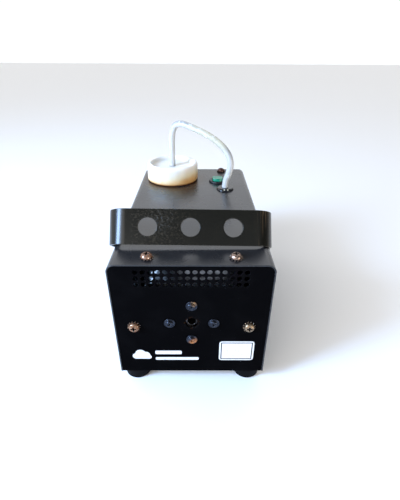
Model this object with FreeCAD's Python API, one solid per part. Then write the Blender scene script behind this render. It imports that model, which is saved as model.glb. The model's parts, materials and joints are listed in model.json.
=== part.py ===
import FreeCAD, Part
import math
import os

from FreeCAD import Rotation, Vector

# Compact fog machine: a bent-steel housing with an electric heater, a solenoid pump and a fluid
# bottle, a swinging hanging bracket, and a clear hose that arches from the fluid cap to a grommet.
# Millimetres. X is to the right, Y is to the back, Z is up. The front panel faces -Y, the origin is
# at the middle of the footprint on the surface that the feet stand on.

# ---------------------------------------------------------------- driving dimensions
WIDTH = 130.0
DEPTH = 231.0
BODY_HEIGHT = 116.6
FOOT_HEIGHT = 12.0
SHEET = 1.2
BEND_RADIUS = 7.0
SHEET_GAP = 0.2
PANEL_INSET = 0.4

THREAD_GAP = 0.05
CLEAR_GAP = 0.2
RUNNING_GAP = 0.1

FRONT = -DEPTH / 2
BACK = DEPTH / 2
FLOOR = FOOT_HEIGHT
TOP = FOOT_HEIGHT + BODY_HEIGHT
INNER_HALF = WIDTH / 2 - SHEET
CEILING = TOP - SHEET
TRAY_TOP = FLOOR + SHEET
PANEL_BACK = PANEL_INSET + SHEET

# Feet
FOOT_X = 51.5
FOOT_Y = 102.0
FOOT_WEB = 4.0

# Fasteners
M4 = 2.0
M3 = 1.5
SCREW_HEAD_RADIUS = 4.5
SCREW_HEAD_HEIGHT = 3.3
WASHER_THICKNESS = 0.9
SCREW_LENGTH = 7.0

# Front panel
VENT_RADIUS = 2.12
VENT_PITCH = 5.72
VENT_COLUMNS = 16
VENT_ROWS = 3
VENT_TOP_ROW = TOP - 7.1
NOZZLE_HEIGHT = TOP - 58.1
NOZZLE_HOLE_RADIUS = 5.4
HEATER_SCREW_CIRCLE = 18.5
PANEL_SCREW_X = 48.3
PANEL_SCREW_HEIGHT = TOP - 61.5
REAR_PANEL_SCREW_X = 56.0
FLANGE_DEPTH = 13.0
FLANGE_HALF = 57.0
COVER_SCREW_X = 34.6
COVER_SCREW_REAR_LEFT_X = -52.0
COVER_SCREW_INSET = 10.2

# Hanging bracket
STRAP = 2.0
STRAP_WIDTH = 29.4
BRACKET_HALF = 68.5
BRACKET_REACH = 105.5
BRACKET_BEND = 16.0
BRACKET_LEAN = 35.3
BRACKET_HOLE_RADIUS = 7.7
BRACKET_HOLE_PITCH = 34.8
PIVOT_Y = 3.5
PIVOT_Z = TOP - 45.8
PIVOT_STUD = 3.0

# Fluid system
TANK_X = -25.8
TANK_Y = 78.5
BOTTLE_WIDTH = 66.0
BOTTLE_DEPTH = 59.0
BOTTLE_WALL = 1.6
PAD_THICKNESS = 4.0
SHOULDER = TOP - 10.6
NECK_RADIUS = 21.5
NECK_BORE = 18.5
NECK_TOP = TOP + 12.1
CAP_RADIUS = 30.25
CAP_BOTTOM = TOP + 0.4
CAP_TOP = TOP + 21.0
DISH_FLOOR = TOP + 16.0
HOSE_RADIUS = 3.5
HOSE_BORE = 2.05
GROMMET_X = 35.7
GROMMET_Y = 42.5
GROMMET_TOP = TOP + 2.6

# Power switch
SWITCH_X = 28.5
SWITCH_Y = 68.5
SWITCH_TILT = 7.0
SWITCH_BEZEL = 10.4
SWITCH_BARREL = 9.7
SWITCH_TAB_PITCH = 5.0
SWITCH_TAB_END = 98.0

# Heater
HEATER_HALF = 33.0
HEATER_HALF_HEIGHT = 23.0
HEATER_FRONT = -100.0
HEATER_BACK = -8.0
VAPORISER_RADIUS = 2.5
NOZZLE_SPIGOT = 4.0
NOZZLE_RECESS = 2.5
BULKHEAD_Y = 12.0

# Mains inlet and remote jack, both on the rear panel, and the terminal block on the tray
INLET_X = 26.0
INLET_Z = 40.0
INLET_FACE = BACK - PANEL_INSET + 2.4
INLET_BACK = BACK - PANEL_INSET - 22.0
INLET_TAB = 8.0
INLET_EAR = 20.0
JACK_X = 26.0
JACK_Z = 84.0
JACK_NECK = 4.5
JACK_BORE = 3.2
TERMINAL_SIDE = -8.0
TERMINAL_TOP = TRAY_TOP + 14.0

# Pump, upright below the grommet
PUMP_X = GROMMET_X
PUMP_Y = GROMMET_Y
PUMP_TAIL_RADIUS = 3.0
YOKE_BOTTOM = 48.9
YOKE_TOP = 83.1
BARREL_RADIUS = 5.0
BARREL_BORE = 4.1
FEED_RADIUS = 2.0
FEED_Z = 26.0


# ---------------------------------------------------------------- small geometry helpers
def box(x_range, y_range, z_range):
    size = [high - low for low, high in (x_range, y_range, z_range)]
    return Part.makeBox(*size, Vector(x_range[0], y_range[0], z_range[0]))


def rod(radius, start, direction, length):
    return Part.makeCylinder(radius, length, Vector(*start), Vector(*direction))


def ring(outer, inner, start, direction, length):
    return rod(outer, start, direction, length).cut(rod(inner, start, direction, length))


def join(shapes):
    whole = shapes[0]
    for shape in shapes[1:]:
        whole = whole.fuse(shape)
    return whole.removeSplitter()


def cut(base, tools):
    for tool in tools:
        base = base.cut(tool)
    return base


def aim(shape, at, direction):
    """Turns a shape built along +Z to point along direction, and puts its origin at a point."""
    turned = shape.copy()
    turned.Placement = FreeCAD.Placement(Vector(*at), Rotation(Vector(0, 0, 1), Vector(*direction)))
    return turned


def upright_edges(shape):
    """The straight edges of a shape that run along Z."""
    found = []
    for edge in shape.Edges:
        ends = edge.BoundBox
        if ends.ZLength > 0.5 and ends.XLength < 0.01 and ends.YLength < 0.01:
            found.append(edge)
    return found


def rounded_box(x_range, y_range, z_range, radius):
    plain = box(x_range, y_range, z_range)
    return plain.makeFillet(radius, upright_edges(plain))


def rounded_box_y(x_range, y_range, z_range, radius):
    """A block whose edges along Y are rounded."""
    plain = box(x_range, y_range, z_range)
    long_edges = []
    for edge in plain.Edges:
        ends = edge.BoundBox
        if ends.XLength < 0.01 and ends.ZLength < 0.01:
            long_edges.append(edge)
    return plain.makeFillet(radius, long_edges)


def hexagon(across_flats, length):
    reach = across_flats / math.sqrt(3)
    angles = [math.radians(60 * i) for i in range(7)]
    outline = [Vector(reach * math.cos(a), reach * math.sin(a), 0) for a in angles]
    return Part.Face(Part.makePolygon(outline)).extrude(Vector(0, 0, length))


def turned_profile(points, at):
    """A solid of revolution about the vertical line through at; points are (radius, height)."""
    outline = [Vector(radius, 0, height) for radius, height in points]
    face = Part.Face(Part.makePolygon(outline + outline[:1]))
    solid = face.revolve(Vector(0, 0, 0), Vector(0, 0, 1), 360)
    solid.translate(Vector(*at))
    return solid


def arch_profile(half_width, bottom, top, radius):
    """A face in the XZ plane: a rectangle whose two upper corners are rounded."""
    diagonal = radius * math.sqrt(0.5)
    corner_x = half_width - radius
    corner_z = top - radius
    points = [
        Vector(-half_width, 0, bottom),
        Vector(-half_width, 0, corner_z),
        Vector(-corner_x - diagonal, 0, corner_z + diagonal),
        Vector(-corner_x, 0, top),
        Vector(corner_x, 0, top),
        Vector(corner_x + diagonal, 0, corner_z + diagonal),
        Vector(half_width, 0, corner_z),
        Vector(half_width, 0, bottom),
    ]
    edges = [
        Part.LineSegment(points[0], points[1]).toShape(),
        Part.Arc(points[1], points[2], points[3]).toShape(),
        Part.LineSegment(points[3], points[4]).toShape(),
        Part.Arc(points[4], points[5], points[6]).toShape(),
        Part.LineSegment(points[6], points[7]).toShape(),
        Part.LineSegment(points[7], points[0]).toShape(),
    ]
    return Part.Face(Part.Wire(edges))


def arch(half_width, bottom, top, radius, front, back):
    solid = arch_profile(half_width, bottom, top, radius).extrude(Vector(0, back - front, 0))
    solid.translate(Vector(0, front, 0))
    return solid


def tangent_path(points, bend=None):
    """Straight runs joined by tangent arcs. Each arc takes 0.45 of the shorter run beside it, or
    less where bend gives a smaller radius. Returns the wire, the radii and the length."""
    corners = [Vector(*point) for point in points]
    edges = []
    radii = []
    start = corners[0]
    for before, corner, after in zip(corners, corners[1:], corners[2:]):
        way_in = (corner - before).normalize()
        way_out = (after - corner).normalize()
        half_turn = way_in.getAngle(way_out) / 2
        reach = 0.45 * min((corner - before).Length, (after - corner).Length)
        if bend is not None:
            reach = min(reach, bend * math.tan(half_turn))
        radius = reach / math.tan(half_turn)
        arc_start = corner - way_in * reach
        arc_end = corner + way_out * reach
        inwards = (way_out - way_in).normalize()
        middle = corner + inwards * (radius / math.cos(half_turn) - radius)
        edges.append(Part.LineSegment(start, arc_start).toShape())
        edges.append(Part.Arc(arc_start, middle, arc_end).toShape())
        radii.append(radius)
        start = arc_end
    edges.append(Part.LineSegment(start, corners[-1]).toShape())
    return Part.Wire(edges), radii, sum(edge.Length for edge in edges)


def swept(wire, start, direction, radius):
    section = Part.Wire(Part.makeCircle(radius, Vector(*start), direction))
    return wire.makePipeShell([section], True, False)


def pipe(points, radius, bend=None):
    wire = tangent_path(points, bend)[0]
    return swept(wire, points[0], Vector(*points[1]) - Vector(*points[0]), radius)


# ---------------------------------------------------------------- fasteners
def cross_recess(head_radius, head_height):
    """The two crossed slots in a screw head that stands on z = 0."""
    arm = 0.52 * head_radius
    slot = 0.15 * head_radius
    recess_floor = 0.3 * head_height
    recess_top = head_height + 1
    return [
        box((-arm, arm), (-slot, slot), (recess_floor, recess_top)),
        box((-slot, slot), (-arm, arm), (recess_floor, recess_top)),
    ]


def domed_head(radius, height, rounding):
    head = rod(radius, (0, 0, 0), (0, 0, 1), height)
    rim = [edge for edge in head.Edges if edge.BoundBox.ZMin > height - 0.01]
    return head.makeFillet(rounding * height, rim)


def pan_screw(shank, length, head_radius=SCREW_HEAD_RADIUS, head_height=SCREW_HEAD_HEIGHT):
    """A cross-recessed pan-head screw: the head on +Z from the origin, the shank on -Z."""
    head = domed_head(head_radius, head_height, 0.85)
    head = cut(head, cross_recess(head_radius, head_height))
    return join([head, rod(shank, (0, 0, -length), (0, 0, 1), length)])


def flange_screw(shank, length):
    """A screw whose small domed head stands on a wide thin flange."""
    flange_radius = 4.75
    dome_radius = 3.1
    dome_height = 2.4
    dome = domed_head(dome_radius, dome_height, 0.5)
    flange = domed_head(flange_radius, 0.8, 0.6)
    head = cut(join([flange, dome]), cross_recess(dome_radius, dome_height))
    return join([head, rod(shank, (0, 0, -length), (0, 0, 1), length)])


def toothed_washer():
    """An external-tooth lock washer, from the origin up."""
    plate = ring(4.0, M4 + CLEAR_GAP, (0, 0, 0), (0, 0, 1), WASHER_THICKNESS)
    tooth = box((3.6, 5.2), (-0.55, 0.55), (0, WASHER_THICKNESS))
    teeth = 12
    pieces = [plate]
    for i in range(teeth):
        turned = tooth.copy()
        turned.rotate(Vector(0, 0, 0), Vector(0, 0, 1), 360 / teeth * i)
        pieces.append(turned)
    return join(pieces)


def cover_screw_places():
    """Where the four cover screws stand, as (x, y); the tank neck pushes one of them outwards."""
    front_y = FRONT + COVER_SCREW_INSET
    back_y = BACK - COVER_SCREW_INSET
    return [
        (-COVER_SCREW_X, front_y),
        (COVER_SCREW_X, front_y),
        (COVER_SCREW_REAR_LEFT_X, back_y),
        (COVER_SCREW_X, back_y),
    ]


def panel_screw_places():
    """Where the four panel screws stand, as (point on the panel's face, outward direction)."""
    front_face = FRONT + PANEL_INSET
    back_face = BACK - PANEL_INSET
    places = []
    for side in (-1, 1):
        places.append(((side * PANEL_SCREW_X, front_face, PANEL_SCREW_HEIGHT), (0, -1, 0)))
        places.append(((side * REAR_PANEL_SCREW_X, back_face, PANEL_SCREW_HEIGHT), (0, 1, 0)))
    return places


def lifted(point, direction, distance):
    return tuple(p + d * distance for p, d in zip(point, direction))


def housing_fasteners():
    cover = [((x, y, TOP), (0, 0, 1)) for x, y in cover_screw_places()]
    washer = toothed_washer()
    screw = pan_screw(M4, SCREW_LENGTH)
    places = cover + panel_screw_places()
    return {
        "housing_screws": [aim(screw, lifted(p, d, WASHER_THICKNESS), d) for p, d in places],
        "toothed_washers": [aim(washer, p, d) for p, d in places],
    }


# ---------------------------------------------------------------- housing
def vent_holes(y_start, thickness):
    """The round vent holes of a panel, as one grid of pins to cut."""
    pins = []
    for row in range(VENT_ROWS):
        for column in range(VENT_COLUMNS):
            x = (column - (VENT_COLUMNS - 1) / 2) * VENT_PITCH
            z = VENT_TOP_ROW - row * VENT_PITCH
            pins.append(rod(VENT_RADIUS, (x, y_start, z), (0, 1, 0), thickness))
    return Part.makeCompound(pins)


def panel(face_y, inwards):
    """A flat panel with rounded upper corners, a top flange and vent holes. face_y is its outer
    face and inwards is +1 at the front and -1 at the back."""
    back_y = face_y + inwards * SHEET
    flange_end = back_y + inwards * FLANGE_DEPTH
    plate = arch(
        INNER_HALF - SHEET_GAP,
        FLOOR,
        CEILING,
        BEND_RADIUS - SHEET - SHEET_GAP,
        min(face_y, back_y),
        max(face_y, back_y),
    )
    flange = box(
        (-FLANGE_HALF, FLANGE_HALF),
        (min(face_y, flange_end), max(face_y, flange_end)),
        (CEILING - SHEET, CEILING),
    )
    return join([plate, flange]).cut(vent_holes(min(face_y, back_y) - 1, SHEET + 2))


def front_panel():
    face = FRONT + PANEL_INSET
    holes = [rod(NOZZLE_HOLE_RADIUS, (0, face - 1, NOZZLE_HEIGHT), (0, 1, 0), 4)]
    for x, z in heater_screw_places():
        holes.append(rod(M4 + CLEAR_GAP, (x, face - 1, z), (0, 1, 0), 4))
    for side in (-1, 1):
        at = (side * PANEL_SCREW_X, face - 1, PANEL_SCREW_HEIGHT)
        holes.append(rod(M4 + CLEAR_GAP, at, (0, 1, 0), 4))
        at = (side * COVER_SCREW_X, FRONT + COVER_SCREW_INSET, CEILING - 4)
        holes.append(rod(M4 + THREAD_GAP, at, (0, 0, 1), 5))
    return cut(panel(face, 1), holes)


def rear_panel():
    face = BACK - PANEL_INSET
    holes = [
        inlet_box(13.7, (face - 3, face + 1), (-17.2, 17.2)),
        rod(JACK_NECK + RUNNING_GAP, (JACK_X, face - 3, JACK_Z), (0, 1, 0), 5),
    ]
    for side in (-1, 1):
        at = (side * REAR_PANEL_SCREW_X, face - 3, PANEL_SCREW_HEIGHT)
        holes.append(rod(M4 + CLEAR_GAP, at, (0, 1, 0), 5))
        at = (INLET_X + side * INLET_EAR, face - 3, INLET_Z)
        holes.append(rod(M3 + CLEAR_GAP, at, (0, 1, 0), 5))
    for x, y in cover_screw_places()[2:]:
        holes.append(rod(M4 + THREAD_GAP, (x, y, CEILING - 4), (0, 0, 1), 5))
    return cut(panel(face, -1), holes)


def top_cover():
    outer = arch(WIDTH / 2, FLOOR, TOP, BEND_RADIUS, FRONT, BACK)
    inner = arch(INNER_HALF, FLOOR - 1, CEILING, BEND_RADIUS - SHEET, FRONT - 1, BACK + 1)
    holes = [
        rod(NECK_RADIUS + 1, (TANK_X, TANK_Y, CEILING - 1), (0, 0, 1), 4),
        rod(7.0, (GROMMET_X, GROMMET_Y, CEILING - 1), (0, 0, 1), 4),
        rod(SWITCH_BARREL + RUNNING_GAP, (SWITCH_X, SWITCH_Y, CEILING - 1), (0, 0, 1), 4),
        rod(PIVOT_STUD + CLEAR_GAP, (-WIDTH, PIVOT_Y, PIVOT_Z), (1, 0, 0), 2 * WIDTH),
    ]
    for x, y in cover_screw_places():
        holes.append(rod(M4 + CLEAR_GAP, (x, y, CEILING - 1), (0, 0, 1), 4))
    return cut(outer.cut(inner), holes)


def frame_screw_places():
    """The screws that hold the inner brackets to the tray, as (x, y)."""
    bulkhead = [(-45, 6), (45, 6)]
    pump = [(49.5, PUMP_Y - 10), (49.5, PUMP_Y + 10)]
    heater = [(-27, -20), (27, -20)]
    return bulkhead + pump + heater


def foot_places():
    return [(x, y) for x in (-FOOT_X, FOOT_X) for y in (-FOOT_Y, FOOT_Y)]


def base_tray():
    half_length = DEPTH / 2 - PANEL_BACK
    half_width = INNER_HALF - SHEET_GAP
    ear_top = PANEL_SCREW_HEIGHT + 8
    parts = [box((-half_width, half_width), (-half_length, half_length), (FLOOR, TRAY_TOP))]
    for side in (-1, 1):
        inner = side * (half_width - SHEET)
        outer = side * half_width
        parts.append(box((min(inner, outer), max(inner, outer)), (-100, 100), (FLOOR, 25)))
        x = side * PANEL_SCREW_X
        parts.append(box((x - 7, x + 7), (-half_length, -half_length + SHEET), (FLOOR, ear_top)))
        x = side * REAR_PANEL_SCREW_X
        parts.append(box((x - 6, x + 6), (half_length - SHEET, half_length), (FLOOR, ear_top)))
    holes = []
    for x, y in foot_places():
        holes.append(rod(M4 + THREAD_GAP, (x, y, FLOOR - 1), (0, 0, 1), 4))
    for x, y in frame_screw_places():
        holes.append(rod(M3 + THREAD_GAP, (x, y, FLOOR - 1), (0, 0, 1), 4))
    for side in (-1, 1):
        at = (side * PANEL_SCREW_X, -BACK, PANEL_SCREW_HEIGHT)
        holes.append(rod(M4 + THREAD_GAP, at, (0, 1, 0), 8))
        at = (side * REAR_PANEL_SCREW_X, BACK, PANEL_SCREW_HEIGHT)
        holes.append(rod(M4 + THREAD_GAP, at, (0, -1, 0), 8))
    slot_width = 3.4
    for i in range(9):
        y = -90 + 9 * i
        slot = rounded_box((-20, 20), (y, y + slot_width), (FLOOR - 1, TRAY_TOP + 1), 1.6)
        holes.append(slot)
    return cut(join(parts), holes)


def bulkhead():
    """The steel wall between the hot bay and the fluid bay, with a foot on the tray."""
    front_face = BULKHEAD_Y - SHEET / 2
    parts = [
        box((-61, 61), (front_face, front_face + SHEET), (TRAY_TOP, 118)),
        box((-61, 61), (0, front_face), (TRAY_TOP, TRAY_TOP + SHEET)),
    ]
    holes = [
        rod(3.5, (PUMP_X, front_face - 1, 26), (0, 1, 0), 4),
        box((-32, -8), (front_face - 1, front_face + 3), (30, 42)),
    ]
    for x, y in frame_screw_places()[:2]:
        holes.append(rod(M3 + CLEAR_GAP, (x, y, FLOOR), (0, 0, 1), 5))
    return cut(join(parts), holes)


def rubber_foot():
    """A tapered foot with a well in its underside for the screw head."""
    bore = M4 + RUNNING_GAP
    well = 3.8
    profile = [
        (bore, FOOT_WEB),
        (well, FOOT_WEB),
        (well, 0),
        (11.2, 0),
        (11.8, 0.8),
        (12.8, FOOT_HEIGHT - 2.4),
        (13.0, FOOT_HEIGHT - 1.6),
        (13.0, FOOT_HEIGHT),
        (bore, FOOT_HEIGHT),
    ]
    return turned_profile(profile, (0, 0, 0))


def feet():
    foot = rubber_foot()
    screw = pan_screw(M4, 12, 3.5, 2.4)
    rubber = []
    screws = []
    for x, y in foot_places():
        rubber.append(aim(foot, (x, y, 0), (0, 0, 1)))
        screws.append(aim(screw, (x, y, FOOT_WEB), (0, 0, -1)))
    return {"rubber_feet": rubber, "foot_screws": screws}


def frame_screws():
    screw = pan_screw(M3, 4, 2.8, 2.0)
    return [aim(screw, (x, y, TRAY_TOP + SHEET), (0, 0, 1)) for x, y in frame_screw_places()]


# ---------------------------------------------------------------- hanging bracket and its pivots
def bracket():
    """A flat strap bent to a U. It is built upright about its pivot, then leaned forwards."""
    half_strap = STRAP_WIDTH / 2
    outer = arch(BRACKET_HALF, 0, BRACKET_REACH, BRACKET_BEND, -half_strap, half_strap)
    inner_half = BRACKET_HALF - STRAP
    inner_top = BRACKET_REACH - STRAP
    inner = arch(inner_half, -1, inner_top, BRACKET_BEND - STRAP, -half_strap - 1, half_strap + 1)
    strap = [outer.cut(inner)]
    for start in (-BRACKET_HALF, inner_half):
        strap.append(rod(half_strap, (start, 0, 0), (1, 0, 0), STRAP))
    holes = [rod(PIVOT_STUD + RUNNING_GAP, (-WIDTH, 0, 0), (1, 0, 0), 2 * WIDTH)]
    for i in (-1, 0, 1):
        at = (i * BRACKET_HOLE_PITCH, 0, BRACKET_REACH - 10)
        holes.append(rod(BRACKET_HOLE_RADIUS, at, (0, 0, 1), 20))
    shape = cut(join(strap), holes)
    shape.rotate(Vector(0, 0, 0), Vector(1, 0, 0), 90 - BRACKET_LEAN)
    shape.translate(Vector(0, PIVOT_Y, PIVOT_Z))
    return shape


def star_knob(length, stud_length):
    """A five-lobed knob along +Z, with a round hub against the bracket and its moulded-in stud."""
    hub_length = 2.0
    grip = rod(12.5, (0, 0, hub_length), (0, 0, 1), length - hub_length)
    for i in range(5):
        angle = math.radians(72 * i)
        at = (15.5 * math.cos(angle), 15.5 * math.sin(angle), hub_length - 1)
        grip = grip.cut(rod(5.5, at, (0, 0, 1), length + 2))
    end = [edge for edge in grip.Edges if edge.BoundBox.ZMin > length - 0.01]
    grip = grip.makeFillet(1.5, end)
    hub = rod(8.0, (0, 0, 0), (0, 0, 1), hub_length)
    stud = rod(PIVOT_STUD, (0, 0, -stud_length), (0, 0, 1), stud_length + 1)
    return join([grip, hub, stud])


def pivots():
    knob_start = BRACKET_HALF + CLEAR_GAP
    nut_thickness = 5.0
    washer_thickness = BRACKET_HALF - STRAP - WIDTH / 2 - RUNNING_GAP
    inner_end = INNER_HALF - nut_thickness - 2
    knob = star_knob(15.6, knob_start - inner_end)
    nut = hexagon(10, nut_thickness).cut(rod(PIVOT_STUD + RUNNING_GAP, (0, 0, -1), (0, 0, 1), 8))
    nuts = []
    friction_washers = []
    nodes = {}
    for side, name in ((-1, "left"), (1, "right")):
        outwards = (side, 0, 0)

        def at(distance):
            return (side * distance, PIVOT_Y, PIVOT_Z)

        nodes[name + "_knob"] = [aim(knob, at(knob_start), outwards)]
        nuts.append(aim(nut, at(INNER_HALF - nut_thickness), outwards))
        friction_washers.append(ring(9, 3.2, at(WIDTH / 2), outwards, washer_thickness))
    nodes["weld_nuts"] = nuts
    nodes["friction_washers"] = friction_washers
    return nodes


# ---------------------------------------------------------------- fluid bottle, cap and hose
def bottle_pad():
    half_x = BOTTLE_WIDTH / 2 - 4
    return box(
        (TANK_X - half_x, TANK_X + half_x),
        (TANK_Y - 27, TANK_Y + 20),
        (TRAY_TOP, TRAY_TOP + PAD_THICKNESS),
    )


def bottle_form(inset, bottom, neck_radius, neck_top):
    """The bottle's outer or inner form: a rounded block with a rounded shoulder and a neck."""
    half_x = BOTTLE_WIDTH / 2 - inset
    half_y = BOTTLE_DEPTH / 2 - inset
    block = rounded_box(
        (TANK_X - half_x, TANK_X + half_x),
        (TANK_Y - half_y, TANK_Y + half_y),
        (bottom, SHOULDER - inset),
        9 - inset,
    )
    rims = [edge for edge in block.Edges if edge.BoundBox.ZLength < 0.01]
    block = block.makeFillet(5 - inset, rims)
    neck_start = bottom + 40
    neck = rod(neck_radius, (TANK_X, TANK_Y, neck_start), (0, 0, 1), neck_top - neck_start)
    return join([block, neck])


def fluid_bottle():
    bottom = TRAY_TOP + PAD_THICKNESS
    outer = bottle_form(0, bottom, NECK_RADIUS, NECK_TOP)
    inner = bottle_form(BOTTLE_WALL, bottom + BOTTLE_WALL, NECK_BORE, NECK_TOP + 5)
    threads = []
    for height in (3.5, 7.5):
        start = (TANK_X, TANK_Y, TOP + height)
        threads.append(ring(NECK_RADIUS + 0.9, NECK_RADIUS - 1, start, (0, 0, 1), 1.4))
    return join([outer] + threads).cut(inner)


def fluid_cap():
    """A wide shallow cap with a dished top, an outer wall and an inner skirt round the neck."""
    hose_hole = HOSE_RADIUS + 0.4
    ceiling = NECK_TOP + 1.5
    skirt_bottom = CAP_BOTTOM + 1.6
    profile = [
        (hose_hole, ceiling),
        (hose_hole, DISH_FLOOR),
        (23.6, DISH_FLOOR),
        (25.4, CAP_TOP - 0.8),
        (26.4, CAP_TOP),
        (27.6, CAP_TOP),
        (29.4, CAP_TOP - 0.9),
        (CAP_RADIUS, CAP_TOP - 3),
        (CAP_RADIUS, CAP_BOTTOM),
        (27.9, CAP_BOTTOM),
        (27.9, ceiling),
        (25.2, ceiling),
        (25.2, skirt_bottom),
        (23.2, skirt_bottom),
        (23.2, ceiling),
    ]
    air_slot = box(
        (TANK_X + 7, TANK_X + 18),
        (TANK_Y - 0.6, TANK_Y + 0.6),
        (DISH_FLOOR - 0.9, DISH_FLOOR + 1),
    )
    return turned_profile(profile, (TANK_X, TANK_Y, 0)).cut(air_slot)


def cap_gasket():
    return ring(22.8, HOSE_RADIUS + 0.4, (TANK_X, TANK_Y, NECK_TOP + 0.2), (0, 0, 1), 1.2)


def hose_route():
    """The arch of the hose from the cap to the grommet, as (x, y, height above the cover)."""
    above_cover = [
        (TANK_X, TANK_Y, DISH_FLOOR - TOP),
        (TANK_X, TANK_Y, 37.0),
        (-25.0, 78.0, 56.5),
        (-18.2, 74.1, 67.0),
        (1.2, 62.8, 62.3),
        (21.2, 51.4, 54.8),
        (36.2, 42.2, 43.5),
        (41.4, 39.4, 30.0),
        (38.8, 40.8, 18.0),
        (GROMMET_X, GROMMET_Y, 9.5),
        (GROMMET_X, GROMMET_Y, GROMMET_TOP - TOP),
    ]
    return [(x, y, TOP + height) for x, y, height in above_cover]


def hose():
    route = hose_route()
    wire, radii, length = tangent_path(route)
    tube = swept(wire, route[0], Vector(0, 0, 1), HOSE_RADIUS)
    diameter = 2 * HOSE_RADIUS
    plain_volume = math.pi * HOSE_RADIUS**2 * length
    print("hose radii in diameters:", [round(radius / diameter, 1) for radius in radii])
    print("hose length:", round(length, 1))
    print("hose volume over its section times its length:", round(tube.Volume / plain_volume, 4))
    return tube


def hose_grommet():
    profile = [
        (HOSE_RADIUS + RUNNING_GAP, CEILING - 2),
        (9.0, CEILING - 2),
        (9.5, CEILING - 1.4),
        (9.5, CEILING),
        (6.9, CEILING),
        (6.9, TOP),
        (9.6, TOP),
        (9.6, TOP + 0.8),
        (8.4, GROMMET_TOP - 0.4),
        (7.2, GROMMET_TOP),
        (HOSE_RADIUS + RUNNING_GAP, GROMMET_TOP),
    ]
    return turned_profile(profile, (GROMMET_X, GROMMET_Y, 0))


def inner_hoses():
    """The parts of the hose below the cap and below the grommet, and the weighted filter."""
    filter_bottom = TRAY_TOP + PAD_THICKNESS + BOTTLE_WALL + 1.5
    filter_height = 18
    tube_end = filter_bottom + 12
    tail_end = 97.0

    def tube(x, y, low, high):
        return ring(HOSE_RADIUS, HOSE_BORE, (x, y, low), (0, 0, 1), high - low)

    strainer = rod(6.5, (TANK_X, TANK_Y, filter_bottom), (0, 0, 1), filter_height)
    strainer = strainer.cut(rod(HOSE_RADIUS + THREAD_GAP, (TANK_X, TANK_Y, tube_end), (0, 0, 1), 10))
    for i in range(8):
        groove = box((5.2, 8), (-0.8, 0.8), (filter_bottom + 2, filter_bottom + 10))
        groove.rotate(Vector(0, 0, 0), Vector(0, 0, 1), 45 * i)
        groove.translate(Vector(TANK_X, TANK_Y, 0))
        strainer = strainer.cut(groove)
    return {
        "pickup_tube": [tube(TANK_X, TANK_Y, tube_end, DISH_FLOOR)],
        "pickup_filter": [strainer],
        "pump_inlet_hose": [tube(GROMMET_X, GROMMET_Y, tail_end, GROMMET_TOP)],
    }


# ---------------------------------------------------------------- solenoid pump
def pump_rod(radius, low, high):
    """An upright rod on the pump's axis."""
    return rod(radius, (PUMP_X, PUMP_Y, low), (0, 0, 1), high - low)


def pump_box(x_range, half_y, z_range):
    """A block centred on the pump in Y, with x_range measured from the pump's axis."""
    x_place = (PUMP_X + x_range[0], PUMP_X + x_range[1])
    return box(x_place, (PUMP_Y - half_y, PUMP_Y + half_y), z_range)


def pump_magnet():
    """The solenoid: a steel yoke open on the left, and a bobbin with its coil."""
    plate = 2.0
    cheek = 1.6
    x_range = (-15.0, 17.0)
    half_y = 15.0
    spool_low = YOKE_BOTTOM + plate
    spool_high = YOKE_TOP - plate
    barrel_hole = pump_rod(BARREL_RADIUS + THREAD_GAP, YOKE_BOTTOM - 1, YOKE_TOP + 1)
    yoke = join([
        pump_box(x_range, half_y, (YOKE_BOTTOM, spool_low)),
        pump_box(x_range, half_y, (spool_high, YOKE_TOP)),
        pump_box((x_range[1] - plate, x_range[1]), half_y, (YOKE_BOTTOM, YOKE_TOP)),
    ])
    core = 6.6
    bobbin = join([
        pump_rod(core, spool_low, spool_high),
        pump_rod(13.8, spool_low, spool_low + cheek),
        pump_rod(13.8, spool_high - cheek, spool_high),
    ])
    coil = pump_rod(13.2, spool_low + cheek + THREAD_GAP, spool_high - cheek - THREAD_GAP)
    return {
        "pump_yoke": [yoke.cut(barrel_hole)],
        "pump_bobbin": [bobbin.cut(barrel_hole)],
        "pump_coil": [coil.cut(pump_rod(core + THREAD_GAP, spool_low, spool_high))],
    }


def pump_cylinder():
    """The barrel with its hose barb above and its tail below, the plunger and its two springs."""
    chamber = (45.0, 87.0)
    plunger_span = (55.0, 77.0)
    channel = 1.2
    spring_gap = 0.1
    barrel = join([
        pump_rod(BARREL_RADIUS, 40, 90),
        pump_rod(6.4, 86, 93),
        pump_rod(2.0, 93, 107),
        pump_rod(PUMP_TAIL_RADIUS, 31, 40),
    ])
    barrel = cut(barrel, [
        pump_rod(BARREL_BORE, *chamber),
        pump_rod(channel, chamber[1] - 1, 108),
        pump_rod(channel, 30, chamber[0] + 1),
    ])
    plunger = pump_rod(BARREL_BORE - RUNNING_GAP, *plunger_span).cut(pump_rod(channel, 50, 80))

    def spring(low, high):
        start = (PUMP_X, PUMP_Y, low + spring_gap)
        return ring(3.5, 2.4, start, (0, 0, 1), high - low - 2 * spring_gap)

    return {
        "pump_barrel": [barrel],
        "pump_plunger": [plunger],
        "upper_plunger_spring": [spring(plunger_span[1], chamber[1])],
        "lower_plunger_spring": [spring(chamber[0], plunger_span[0])],
    }


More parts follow.
